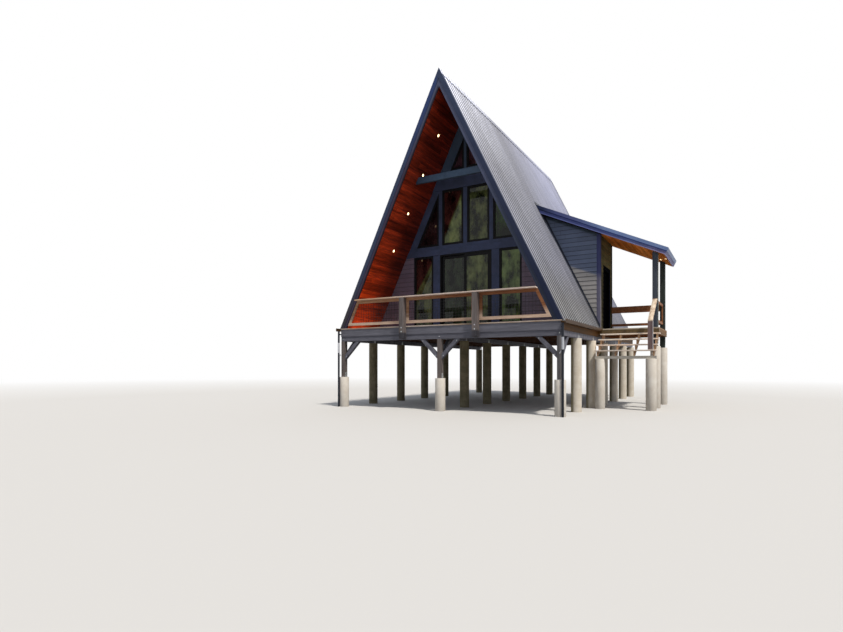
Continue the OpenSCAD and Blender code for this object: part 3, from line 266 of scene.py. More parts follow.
def painted_steel(name, colour, dust, along, rough=0.4, gloss=0.15, ribbed=False):
    """Baked paint on folded sheet: an even satin skin with rain streaks and, where it is ribbed, a tone for
    each sheet, painted shade on the ribs and a painted sheen on the flats between them, both evening out
    towards the back."""
    material, tree, place = bare_material(name)
    scales = [1.2 if axis in along else 9.0 for axis in "XYZ"]
    streaks = add(tree, "VectorMath", (place, scales), operation="MULTIPLY")
    rain = add(tree, "TexNoise", {"Vector": streaks, "Scale": 1.0, "Detail": 6.0, "Roughness": 0.62})
    amount = add(tree, "MapRange", (rain, 0.35, 0.75))
    skin = blended(tree, amount, linear(colour), linear(dust))
    if ribbed:
        y = add(tree, "SeparateXYZ", (place,)).outputs[1]
        sheet = add(tree, "Math", (y, 4 * RIB_PITCH), operation="DIVIDE")
        sheet = add(tree, "Math", (sheet,), operation="FLOOR")
        tone = add(tree, "TexWhiteNoise", {"W": sheet}, noise_dimensions="1D")
        tone = add(tree, "MapRange", (tone, 0, 1, 0.84, 1.14))
        # Painted shade on the ribs and painted sheen on the flats; from 2.5 m to 6.5 m back both blend most
        # of the way to one paler tone
        rib = add(tree, "Math", (y, RIB_PITCH), operation="DIVIDE")
        rib = add(tree, "Math", (rib, RIB_SHIFT), operation="SUBTRACT")
        rib = add(tree, "Math", (rib, 0.5), operation="PINGPONG")
        line = add(tree, "MapRange", (rib, 0.10, 0.15, 0.25, 2.1))
        even = add(tree, "MapRange", (y, 2.5, 6.5, 0, 0.75))
        plain = add(tree, "Math", (1.6, line), operation="SUBTRACT")
        line = add(tree, "Math", (plain, even, line), operation="MULTIPLY_ADD")
        tone = add(tree, "Math", (tone, line), operation="MULTIPLY")
        skin = blended(tree, 1.0, skin, tone, "MULTIPLY")
    matt = add(tree, "MapRange", (rain, 0, 1, rough - 0.06, rough + 0.08))
    waves = add(tree, "TexNoise", {"Vector": place, "Scale": 2.2, "Detail": 1.0})
    bump = add(tree, "Bump", {"Height": waves, "Strength": 0.12, "Distance": 0.01})
    return finished(material, skin, Normal=bump, Roughness=matt, Specular_IOR_Level=gloss)


def cast_concrete(name, pale, dark, tubes=False):
    """Concrete from a form: cloudy stains and pinholes, and on a pier the spiral seam of its paper tube.
    The sand, 1 to 2 mm in truth, is drawn 8 mm wide."""
    material, tree, place = bare_material(name)
    stain = add(tree, "TexNoise", {"Vector": place, "Scale": 3.2, "Detail": 6.0, "Roughness": 0.65})
    sand = add(tree, "TexNoise", {"Vector": place, "Scale": 120.0, "Detail": 2.0})
    holes = add(tree, "TexVoronoi", {"Vector": place, "Scale": 28.0})
    holes = add(tree, "Math", (holes, 0.11), operation="LESS_THAN")
    amount = add(tree, "MapRange", (stain, 0.3, 0.7))
    colour = blended(tree, amount, linear(dark), linear(pale))
    colour = blended(tree, holes, colour, linear(dark))
    height = add(tree, "Math", (sand, holes), operation="SUBTRACT")
    if tubes:
        axes = add(tree, "SeparateXYZ", (place,))
        around = []
        for socket, first, step in ((1, PIER_Y[0], PIER_PITCH), (0, 0.0, GIRDER_X)):
            local = add(tree, "Math", (axes.outputs[socket], first), operation="SUBTRACT")
            around.append(add(tree, "Math", (local, step / 2, -step / 2), operation="WRAP"))
        angle = add(tree, "Math", around, operation="ARCTAN2")
        angle = add(tree, "Math", (angle, math.tau), operation="DIVIDE")
        climb = add(tree, "Math", (axes.outputs[2], 0.16), operation="DIVIDE")
        climb = add(tree, "Math", (climb, angle), operation="ADD")
        climb = add(tree, "Math", (climb,), operation="FRACT")
        ridge = add(tree, "Math", (climb, 0.05), operation="LESS_THAN")
        faint = add(tree, "Math", (ridge, 0.45), operation="MULTIPLY")
        colour = blended(tree, faint, colour, linear(dark))
        height = add(tree, "Math", (height, ridge), operation="ADD")
    bump = add(tree, "Bump", {"Height": height, "Strength": 0.35, "Distance": 0.002})
    return finished(material, colour, Normal=bump, Roughness=0.86, Specular_IOR_Level=0.3)


def powder_coat(name, colour, gloss=0.0):
    """Black coat on aluminium or a door: a fine orange-peel skin that keeps a soft line of light."""
    material, tree, place = bare_material(name)
    peel = add(tree, "TexNoise", {"Vector": place, "Scale": 260.0, "Detail": 2.0})
    cloud = add(tree, "TexNoise", {"Vector": place, "Scale": 2.0, "Detail": 3.0})
    paler = [c * 1.6 for c in linear(colour)[:3]] + [1.0]
    skin = blended(tree, cloud, linear(colour), paler)
    bump = add(tree, "Bump", {"Height": peel, "Strength": 0.1, "Distance": 0.0004})
    return finished(material, skin, Normal=bump, Roughness=0.6, Specular_IOR_Level=gloss)


def tinted_glass():
    """Sealed double panes: dark by day, with a clear mirror image and a painted reflection of trees, a cloudy
    green.
    """
    material, tree, place = bare_material("tinted_glass")
    place = add(tree, "VectorMath", (place, (3.4, 3.4, 1.9)), operation="MULTIPLY")
    cloud = add(tree, "TexNoise", {"Vector": place, "Scale": 1.0, "Detail": 5.0, "Roughness": 0.6})
    amount = add(tree, "MapRange", (cloud, 0.38, 0.66))
    colour = blended(tree, amount, linear("#161c14"), linear("#84925a"))
    return finished(material, colour, Roughness=0.03, IOR=1.52, Specular_IOR_Level=0.15,
                    Transmission_Weight=0.25)


def galvanised():
    """Hot-dip zinc on brackets and bolts: a bright grey metal with a faint spangle, 11 mm across."""
    material, tree, place = bare_material("galvanised_steel")
    spangle = add(tree, "TexVoronoi", {"Vector": place, "Scale": 90.0}).outputs["Color"]
    colour = blended(tree, 0.12, linear("#b9bdbf"), spangle)
    return finished(material, colour, Metallic=0.85, Roughness=0.45)


def lit_lens():
    """Frosted lens of a round light, switched on and warm."""
    material, tree, place = bare_material("lit_lens")
    frost = add(tree, "TexNoise", {"Vector": place, "Scale": 400.0, "Detail": 1.0})
    colour = blended(tree, frost, linear("#fff1d8"), linear("#ffe2b0"))
    return finished(material, colour, Emission_Color=linear("#ffd9a0"), Emission_Strength=5.0, Roughness=0.5)


def satin_nickel():
    """Brushed knob metal: grey with a hint of warmth and a soft round highlight."""
    material, tree, place = bare_material("satin_nickel")
    brush = add(tree, "TexNoise", {"Vector": place, "Scale": 300.0, "Detail": 2.0})
    colour = blended(tree, brush, linear("#a09a90"), linear("#bdb7ad"))
    return finished(material, colour, Metallic=1.0, Roughness=0.32)


def coated_wire():
    """Welded wire in black vinyl, with a faint grit."""
    material, tree, place = bare_material("coated_wire")
    grit = add(tree, "TexNoise", {"Vector": place, "Scale": 500.0, "Detail": 1.0})
    colour = blended(tree, grit, linear("#0e0e10"), linear("#1c1c20"))
    return finished(material, colour, Roughness=0.5)


# Spans that keep a tint to the front windows, to the gable, and to the two edges of the shed roof
FRONT = ("Y", 5, 4)
GABLE = ("Y", 4.0, 3.0)
SHED = (("Y", 4.2, 4.25), ("Y", 6.92, 6.9))

# Oiled cedar under the roof: deep red-brown boards with small knots; painted light makes them golden low down
# and at the gable's edge, and painted shade darkens them high up at the front and, below 6.2 m, further in
LOWEST_BOARD = SLOPE_LENGTH - CEILING_DEPTH * RUN - APEX * math.sin(SLOPE)
cedar_left, cedar_right = (
    tinted_by_place(
        timber(name, "#a63c24", "#4a1712", "Y", grain=0.012, rough=0.5, knots=0.16, uneven=0.2,
               boards=((down, 0, -math.sin(SLOPE)), LOWEST_BOARD, BOARD, (0, 1, 0), CEDAR_LENGTH)),
        ((2.2, 2.0, 1.3), ("Y", 1.3, 0.1)),
        ((2.0, 1.8, 1.0), ("Z", 5.6, 2.9)),
        ((1.6, 1.6, 1.0), ("Z", 3.7, 2.9)),
        ((0.6, 0.65, 0.8), ("Z", 6.4, 8.2), ("Y", 1.3, 0.8)),
        ((0.6, 0.66, 0.8), ("Y", 0.8, 1.4), ("Z", 6.8, 6.2)))
    for name, down in (("cedar_ceiling_left", -math.cos(SLOPE)), ("cedar_ceiling_right", math.cos(SLOPE))))
# The porch ceiling is the same cedar painted pale orange as in full light, with painted shadow, nearly black,
# on the strip over the dormer's front wall
cedar_porch = tinted_by_place(
    timber("cedar_ceiling_porch", "#fda858", "#d0702e", "Y", grain=0.012, rough=0.6, knots=0.16, gloss=0.0,
           boards=((math.cos(SHED_ANGLE), 0, -math.sin(SHED_ANGLE)), 0.05, BOARD, (0, 1, 0), CEDAR_LENGTH)),
    ((0.03, 0.05, 0.15), ("X", 3.85, 3.75), ("Y", 4.62, 4.58)))

# Cedar rails: warm brown, with painted sunlight making them almost white on the cap's top edge, on the bottom
# rail below the cap's shadow, towards the left, and at the front end of the porch rails
cedar_rail = tinted_by_place(
    timber("cedar_rail", "#a8724c", "#7c4a2e", "X", grain=0.010, rough=0.55, knots=0.12),
    ((2.45, 4.3, 7.4), ("Z", 3.0, 2.78)),
    ((2.2, 3.6, 5.4), ("Z", 3.449, 3.453)),
    ((1.14, 1.4, 1.9), ("Z", 3.449, 3.453), ("X", -2.2, -0.8)),
    ((1.6, 2.2, 3.0), ("X", 0.4, -1.3), ("Z", 2.9, 3.1), ("Z", 3.453, 3.449)))
cedar_rail_side = tinted_by_place(
    timber("cedar_rail_side", "#a8734c", "#7a4a2c", "Y", grain=0.010, rough=0.55, knots=0.12),
    ((2.5, 4.9, 9.0), ("Y", 4.45, 4.38)))
edge_strip = timber("deck_edge_strip", "#d8cdc2", "#ad9279", "X", grain=0.012)

# Grey stain on posts and beams: the grain shows through it as soft streaks
grey_posts = tinted_by_place(
    timber("grey_stained_posts", "#837a77", "#5f5754", "Z", grain=0.016),
    # Painted sunlight on the low part of the right front post, and painted shade on the feet of the rail
    # posts under the rim
    ((1.35, 1.5, 1.6), ("X", 2.0, 3.4), ("Z", 2.4, 2.3)),
    ((0.3, 0.34, 0.42), ("Y", 0.0, -0.01), ("Z", 2.40, 2.34)))
porch_stain = tinted_by_place(
    timber("blue_grey_porch_posts", "#4d545f", "#373c45", "Z", grain=0.016),
    # Painted sunlight on the newel, which stands out from under the roof, and on the sides of the newel and
    # the front post that face the sun; painted shade on the rear post
    ((4.0, 2.3, 1.7), ("Y", 4.0, 3.6)),
    ((1.9, 2.6, 2.8), ("Y", 4.0, 3.6), ("X", 5.494, 5.498)),
    ((2.5, 2.2, 1.3), ("Y", 5.0, 4.9), ("X", 5.507, 5.511)),
    ((0.6, 0.65, 0.45), ("Y", 5.4, 6.2)))
grey_rim = tinted_by_place(
    timber("grey_stained_rim", "#7c7c87", "#5b5b64", "X", grain=0.016),
    ((1.12, 1.12, 1.1), ("Z", 2.32, 2.35)))
grey_braces = timber("grey_stained_braces", "#7c7c87", "#5b5b64", "", grain=0.02)
pale_sill = timber("pale_stair_sill", "#c9c4bb", "#a5a096", "X", grain=0.016)

# Slate blue paint on boards: nearly even, with the grain only just seen. On the main rakes painted shade
# darkens the lower right one, the top of the left one and the left board's inner edge; the shed's rake boards
# are paler in painted light, darker at their left end in painted shade, with a painted highlight along their
# lower edge
blue_boards = timber("slate_blue_boards", "#4c587a", "#384258", "XZ", grain=0.02, rough=0.6)
tie_paint = timber("slate_tie_beam", "#4d6279", "#3a4a60", "XZ", grain=0.02, rough=0.6)
blue_rakes = tinted_by_place(
    timber("slate_blue_rakes", "#565c76", "#464c64", "XZ", grain=0.02, rough=0.55),
    ((0.3, 0.26, 0.26), ("D", 0.185, 0.205), ("X", -0.02, -0.03), GABLE),
    ((0.5, 0.55, 0.55), ("X", 0.1, 0.3), ("Z", 6.8, 5.6), GABLE),
    ((0.6, 0.62, 0.66), ("X", 0.3, 0.5), ("Z", 5.4, 3.6), GABLE),
    ((0.7, 0.45, 0.5), ("X", -0.05, -0.3), ("Z", 8.8, 7.5), GABLE),
    ((1.6, 1.75, 2.3), *SHED),
    ((0.7, 0.7, 0.85), *SHED, ("X", 4.7, 3.6)),
    ((1.4, 1.1, 1.0), *SHED, ("X", 4.7, 5.4)),
    ((2.0, 1.9, 1.6), *SHED, (SHED_SLANT, SHED_LEVEL - 0.200, SHED_LEVEL - 0.208)))
corner_paint = tinted_by_place(
    timber("violet_blue_corners", "#545880", "#424666", "Z", grain=0.02, rough=0.55, gloss=0.0),
    # Painted shade, nearly black, on the corner boards' sides by the door under the porch roof; painted
    # sunlight on the low front of the corner board and on its side there
    ((0.1, 0.1, 0.06), ("X", 3.695, 3.70), ("Y", 4.72, 4.74)),
    ((2.3, 2.0, 1.3), ("Z", 4.5, 4.3), ("Y", 4.74, 4.72)),
    ((1.4, 1.4, 1.0), ("Z", 4.5, 4.3), ("Y", 4.74, 4.72), ("X", 3.706, 3.7075)))

# Treated framing: brown with dark streaks; painted light makes the joists and rims under the porch paler, and
# the porch rim is bluer at its front edge
brown_joists = tinted_by_place(
    timber("treated_joists", "#5f3a22", "#3a2012", "X", grain=0.016),
    ((4.0, 3.6, 2.5), ("X", 3.74, 3.78)))
brown_rims = tinted_by_place(
    timber("treated_rims", "#6e4a20", "#4b3216", "Y", grain=0.016),
    ((1.3, 1.4, 1.6), ("X", 3.70, 3.75)),
    ((0.72, 1.05, 2.0), ("X", 3.72, 3.76), ("Y", 4.45, 4.42)))
stringer_wood = timber("stringer_finish", "#c9a480", "#8f6b4c", "Z", grain=0.016)
roof_wood = timber("rafter_finish", "#b58f62", "#86613c", "X", grain=0.018)

# Deck and stair: tan pine with knots, each board a little lighter or darker than the next one, and
# indoors narrow oiled boards with a low sheen
deck_wood = tinted_by_place(
    timber("deck_boards_finish", "#b9977a", "#866749", "X", grain=0.013, rough=0.68, knots=0.13,
           boards=((0, 1, 0), 0.043, BOARD_PITCH, (1, 0, 0), BOARD_LENGTH)),
    ((1.2, 1.7, 2.2), ("Y", 4.386, 4.383), ("X", 3.72, 3.74)))
# The stair treads are the same pine painted nearly white: painted sunlight on their edges and painted light
# under them
tread_wood = timber("tread_finish", "#fffaf0", "#ecd2bc", "X", grain=0.013, rough=0.68, knots=0.13)
floor_wood = timber("room_floor_finish", "#a06a3c", "#6f431f", "X", grain=0.010, rough=0.4, gloss=0.4,
                    boards=((0, 1, 0), 0.0, 0.127, (1, 0, 0), 1.8))

# Lap siding, with a painted shadow under each lap: violet grey on the gables; on the dormer's ends blue as in
# shade, with a painted patch of sunlight low on the front end and a painted shadow under the shed roof's
# edge; on the dormer's side by the door a dark olive copy in painted shade, paler higher up
siding_front = tinted_by_place(
    lap_siding("siding_along_front", "#80808e", "#636272", "X", line=0.45),
    ((0.93, 0.74, 0.8), ("Y", 3.0, 2.0)))
siding_dormer = tinted_by_place(
    lap_siding("siding_of_dormer", "#6b7790", "#525d72", "X", line=0.6),
    ((2.9, 2.2, 1.4), ((0.41, 0.0, 1.0), 5.93, 5.85), ("Y", 5.5, 5.0)),
    ((0.3, 0.4, 0.35), (SHED_SLANT, SHED_LEVEL - 0.34, SHED_LEVEL - 0.28), ("Y", 5.5, 5.0)))
siding_side = tinted_by_place(
    lap_siding("siding_along_side", "#5e5b47", "#444133", "Y", gloss=0.0),
    ((2.0, 2.0, 1.7), ("Z", 3.9, 4.6)))

# Painted roof and trim sheet: a dusty blue-grey field with a painted sheen, strongest high at the front and
# at the back, and painted shade low down; navy edges with painted shade, and on the shed's edges painted
# sunlight, a painted shadow line along their foot and a painted highlight on their thin returns at the eave
roof_steel = tinted_by_place(
    painted_steel("blue_grey_roof_steel", "#6c6e7b", "#82838e", "XZ", rough=0.42, gloss=0.5, ribbed=True),
    ((0.98, 1.0, 1.12), ("Y", 2.5, 8.0)),
    ((3.1, 3.1, 2.9), ("Z", 7.4, 9.8), ("Y", 4.5, 0.5)),
    ((1.35, 1.35, 1.35), ("Z", 6.6, 8.6), ("Y", 6.5, 9.0)),
    ((0.84, 0.82, 0.70), ("Z", 4.6, 3.2)))
trim_steel = tinted_by_place(
    painted_steel("navy_trim_steel", "#36405b", "#414b65", "XZ"),
    ((0.5, 0.5, 0.58), ("X", 0.1, 0.4), ("Z", 9.5, 5.5), GABLE),
    ((0.65, 0.7, 0.8), ("X", 0.3, 0.5), ("Z", 5.0, 3.6), GABLE),
    ((0.8, 1.0, 1.45), ("X", -0.05, -0.1), ("Z", 7.4, 9.2), GABLE),
    ((1.2, 0.8, 0.5), ("X", -0.05, -0.1), ("Z", 4.4, 3.0), GABLE),
    ((4.4, 4.6, 4.3), *SHED, ("X", 5.85, 5.83)),
    ((0.17, 0.21, 0.41), *SHED, ("X", 5.85, 5.83), (SHED_SLANT, SHED_LEVEL - 0.098, SHED_LEVEL - 0.104)),
    ((0.42, 0.36, 0.48), *SHED, ("X", 3.9, 2.9)),
    ((0.3, 0.35, 0.35), *SHED, ("X", 2.3, 1.8)),
    ((7.0, 2.5, 0.5), *SHED, ("X", 5.831, 5.834), ("Z", 4.95, 4.93)),
    ((10.0, 7.0, 2.6), *SHED, ("X", 5.831, 5.834), ("Z", 4.955, 4.96), ("Z", 5.02, 5.01)))
flashing_steel = painted_steel("dark_flashing_steel", "#2e323e", "#3c404c", "XZ")
pipe_steel = painted_steel("navy_pipe_steel", "#1f232d", "#2b2f38", "Z", gloss=0.2)
gutter_steel = painted_steel("brown_gutter_steel", "#48321b", "#392512", "Y")
lip_steel = painted_steel("sunlit_lip_steel", "#cdb99c", "#b39f84", "Y", gloss=0.2)

# Smooth white plastic with the same satin skin and faint streaks as the paint, on sleeves that stand for the
# sunlit
# stretch of each dark downpipe: a painted highlight made as a piece
sleeve_painted_highlight = painted_steel("white_sleeve_painted_highlight", "#dfe1e6", "#c8ccd4", "Z", gloss=0.3)

# Concrete, one mix in three copies: earthy in painted shade on the piers under the house, bone white in
# painted sunlight on the footings and on the right piers, whose inner sides have painted shade
pier_concrete = cast_concrete("tube_cast_concrete", "#9a9076", "#6c654c", tubes=True)
lit_pier_concrete = tinted_by_place(
    cast_concrete("pale_tube_cast_concrete", "#f8f0e2", "#e2d6c0", tubes=True),
    ((0.4, 0.38, 0.28), ("X", 3.60, 3.54)))
footing_concrete = cast_concrete("form_cast_concrete", "#fbf5ea", "#e6dccd")

# Black frames and doors, and glass with its own painted reflection on each pane, lighter or darker and of its
# own hue
black_frames = powder_coat("black_window_frames", "#08090c", gloss=0.15)
door_paint = powder_coat("black_door_paint", "#0c0d11")
door_frame_paint = powder_coat("black_door_frame", "#0b0b0e")
glass = tinted_by_place(
    tinted_glass(),
    ((0.3, 0.36, 0.5), ("X", -0.93, -0.9), ("X", -0.01, -0.04), ("Z", 5.2, 5.1)),
    ((1.25, 1.5, 1.35), ("X", 1.1, 1.15), ("Z", 5.2, 5.1)),
    ((1.35, 1.4, 1.15), ("X", -0.92, -0.89), ("X", -0.01, -0.05), ("Z", 5.2, 5.3), ("Z", 7.5, 7.4)),
    ((0.25, 0.55, 0.2), ("X", 0.9, 0.95), ("Z", 5.2, 5.35)),
    ((0.27, 0.1, 0.3), ("X", -0.9, -0.95), ("Z", 5.2, 5.35)),
    ((0.4, 0.09, 0.25), ("X", -0.95, -0.9), ((-0.905, 0, 0.425), 3.06, 3.15), ("Z", 7.5, 7.4), FRONT),
    ((0.45, 0.12, 0.3), ("X", -1.1, -1.15), ((-0.848, 0, 0.53), 3.57, 3.65), ("Z", 5.2, 5.1), FRONT),
    ((0.5, 0.18, 0.7), ("Z", 7.4, 7.5), FRONT))
zinc = galvanised()
lens = lit_lens()
nickel = satin_nickel()
wire = coated_wire()


# Making pieces

class Piece:
    """Gathers the solids of one piece in one mesh."""

    def __init__(self):
        self.mesh = bmesh.new()

    def solid(self, points, faces, place=None):
        corners = [self.mesh.verts.new(place @ Vector(p) if place else Vector(p)) for p in points]
        for face in faces:
            self.mesh.faces.new([corners[i] for i in face])

    def block(self, low, high, place=None):
        """A box between two corners."""
        points = [(x, y, z) for x in (low[0], high[0]) for y in (low[1], high[1]) for z in (low[2], high[2])]
        faces = [(0, 1, 3, 2), (4, 6, 7, 5), (0, 4, 5, 1), (2, 3, 7, 6), (0, 2, 6, 4), (1, 5, 7, 3)]
        self.solid(points, faces, place)

    def prism(self, outline, start, end, place=None):
        """An outline in X and Z drawn out along Y."""
        count = len(outline)
        points = [(x, y, z) for y in (start, end) for x, z in outline]
        sides = [(i, (i + 1) % count, count + (i + 1) % count, count + i) for i in range(count)]
        self.solid(points, sides + [tuple(range(count))[::-1], tuple(range(count, 2 * count))], place)

    def rim(self, outer, inner, start, end):
        """The frame between two outlines in X and Z, from one depth to another."""
        count = len(outer)
        points = [(x, y, z) for y in (start, end) for line in (outer, inner) for x, z in line]
        faces = []
        for i in range(count):
            j = (i + 1) % count
            faces += [(i, j, count + j, count + i),
                      (2 * count + i, 3 * count + i, 3 * count + j, 2 * count + j),
                      (i, 2 * count + i, 2 * count + j, j),
                      (count + i, count + j, 3 * count + j, 3 * count + i)]
        self.solid(points, faces)

    def turned(self, profile, centre, axis, sides=24):
        """A profile of radius and height turned about an axis."""
        place = Matrix.Translation(centre) @ Vector(axis).to_track_quat("Z", "Y").to_matrix().to_4x4()
        points = [(r * math.cos(math.tau * k / sides), r * math.sin(math.tau * k / sides), h)
                  for r, h in profile for k in range(sides)]
        last = (len(profile) - 1) * sides
        faces = [(i + k, i + (k + 1) % sides, i + sides + (k + 1) % sides, i + sides + k)
                 for i in range(0, last, sides) for k in range(sides)]
        faces += [tuple(range(sides))[::-1], tuple(range(last, last + sides))]
        self.solid(points, faces, place)

    def make(self, name, material, slot, body="cabin", edge=0.0, replaces=()):
        """Turns the gathered solids into a piece that rides on a body."""
        bmesh.ops.recalc_face_normals(self.mesh, faces=self.mesh.faces)
        mesh = bpy.data.meshes.new(name)
        self.mesh.to_mesh(mesh)
        self.mesh.free()
        mesh.materials.append(material)
        piece = placed(name, mesh)
        if edge:
            round_edges(piece, edge)
        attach(piece, body)
        if replaces:
            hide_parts(*replaces)


def round_edges(piece, width):
    """Eases the sharp edges, as a planed board or a folded sheet has them."""
    bevel = piece.modifiers.new("eased_edges", "BEVEL")
    bevel.width = width
    bevel.segments = 2
    bevel.limit_method = "ANGLE"
    bevel.angle_limit = math.radians(35)


def roof_x(z, depth):
    """Half the width of the main roof at a height, to a layer at a depth under its ribs."""
    return (APEX - z) * RUN - depth * STRETCH


def roof_z(x, depth):
    """Height of a layer of the main roof at a distance from the middle."""
    return APEX - (x + depth * STRETCH) / RUN


def shed_z(x, depth):
    """Height of a layer of the shed roof at the distance x from the ridge line."""
    return SHED_TOP - x * math.tan(SHED_ANGLE) - depth / math.cos(SHED_ANGLE)


def shed_join(shed_depth, roof_depth):
    """Distance at which a layer of the shed roof meets a layer of the main roof."""
    rise = roof_z(0, roof_depth) - SHED_TOP + shed_depth / math.cos(SHED_ANGLE)
    return rise / (1 / RUN - math.tan(SHED_ANGLE))


def slope_place(side):
    """Local X runs down the slope from the apex, Y along the house and Z out of the slope."""
    place = Matrix.Translation((0, 0, APEX)) @ Matrix.Rotation(SLOPE, 4, "Y")
    return Matrix.Scale(-1, 4, (1, 0, 0)) @ place if side < 0 else place


def shed_place():
    """The same for the shed roof, from where it meets the main roof."""
    x = shed_join(0, 0)
    return Matrix.Translation((x, 0, shed_z(x, 0))) @ Matrix.Rotation(SHED_ANGLE, 4, "Y")


# Finishes of the solids that keep their shape, with the width of their eased edges

FINISHES = (
    (footing_concrete, 0.008, "post_footings"),
    (pier_concrete, 0, "left_piers middle_piers"),
    (lit_pier_concrete, 0, "right_piers"),
    (grey_posts, 0.005, "deck_posts rail_posts"),
    (grey_braces, 0.004, "knee_braces"),
    (grey_rim, 0.004, "floor_beams front_rim"),
    (brown_joists, 0, "floor_joists"),
    (brown_rims, 0.003, "rim_boards"),
    (deck_wood, 0.003, "deck_boards"),
    (floor_wood, 0, "house_floor"),
    (roof_wood, 0, "left_roof_panel right_roof_front right_roof_rear right_roof_upper shed_roof_panel"),
    (roof_steel, 0, "left_roof_metal right_roof_metal ridge_cap shed_roof_metal"),
    (blue_rakes, 0.003, "rake_boards"),
    (trim_steel, 0, "trim_metal"),
    (cedar_left, 0, "left_ceiling"),
    (cedar_right, 0, "right_ceiling"),
    (cedar_porch, 0, "shed_ceiling"),
    (tie_paint, 0.005, "tie_beam"),
    (tie_paint, 0, "gable_panel"),
    (siding_front, 0, "front_wall_left front_wall_right back_wall"),
    (siding_dormer, 0, "dormer_end_walls"),
    (siding_side, 0, "dormer_side_piers dormer_wall_over"),
    (corner_paint, 0.003, "corner_boards"),
    (blue_boards, 0.004, "front_beams front_posts"),
    (black_frames, 0.003, "window_frames slider_frame sliding_door"),
    (black_frames, 0, "leaf_hinges frame_hinges"),
    (glass, 0, "window_glass sliding_door_glass"),
    (door_frame_paint, 0, "entry_frame"),
    (door_paint, 0.003, "entry_door"),
    (nickel, 0, "entry_handle"),
    (porch_stain, 0.005, "porch_posts"),
    (cedar_rail_side, 0.004, "porch_rails"),
    (cedar_rail, 0.003, "front_rail"),
    (wire, 0, "rail_mesh"),
    (pale_sill, 0.004, "stair_sill"),
    (stringer_wood, 0.003, "stair_stringers"),
    (tread_wood, 0, "stair_treads"),
    (gutter_steel, 0, "gutters"),
    (pipe_steel, 0, "downpipes"),
    (lens, 0, "ceiling_lights"),
)


def dress_solids():
    for finish, edge, names in FINISHES:
        for name in names.split():
            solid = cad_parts[name]
            solid.data.materials.clear()
            solid.data.materials.append(finish)
            if edge:
                weld = solid.modifiers.new("joined_corners", "WELD")
                weld.merge_threshold = 0.0002
                round_edges(solid, edge)


# Roof

LOW_RIBS_AT = (RIB_PITCH / 3, RIB_PITCH * 2 / 3)
SCREW_PITCH = 0.61
SCREW_OFF_RIB = 0.036


def rib_lines(start, end):
    """Places of the main ribs across a run of metal."""
    count = math.floor((end - start - RIB_FOOT) / RIB_PITCH)
    first = start + ((end - start) - count * RIB_PITCH) / 2
    return [first + i * RIB_PITCH for i in range(count + 1)]


def shed_length():
    """Length of the shed roof down its slope."""
    return (SHED_EAVE - shed_join(0, 0)) / math.cos(SHED_ANGLE)


def metal_length(side, y):
    """How far down its slope the metal runs: past the floor, or to the shed roof beside the dormer.
    The side is 1 for the right, -1 for the left and 0 for the shed roof."""
    spare, siding = 0.03, 0.02
    if side == 0:
        return shed_length() - 0.002
    if side > 0 and DORMER_Y[0] - siding < y < DORMER_Y[1] + siding:
        height = roof_z(shed_join(SHED_INNER, METAL_DEPTH), METAL_DEPTH)
        return (APEX - height) / math.sin(SLOPE) - spare
    return SLOPE_LENGTH + spare


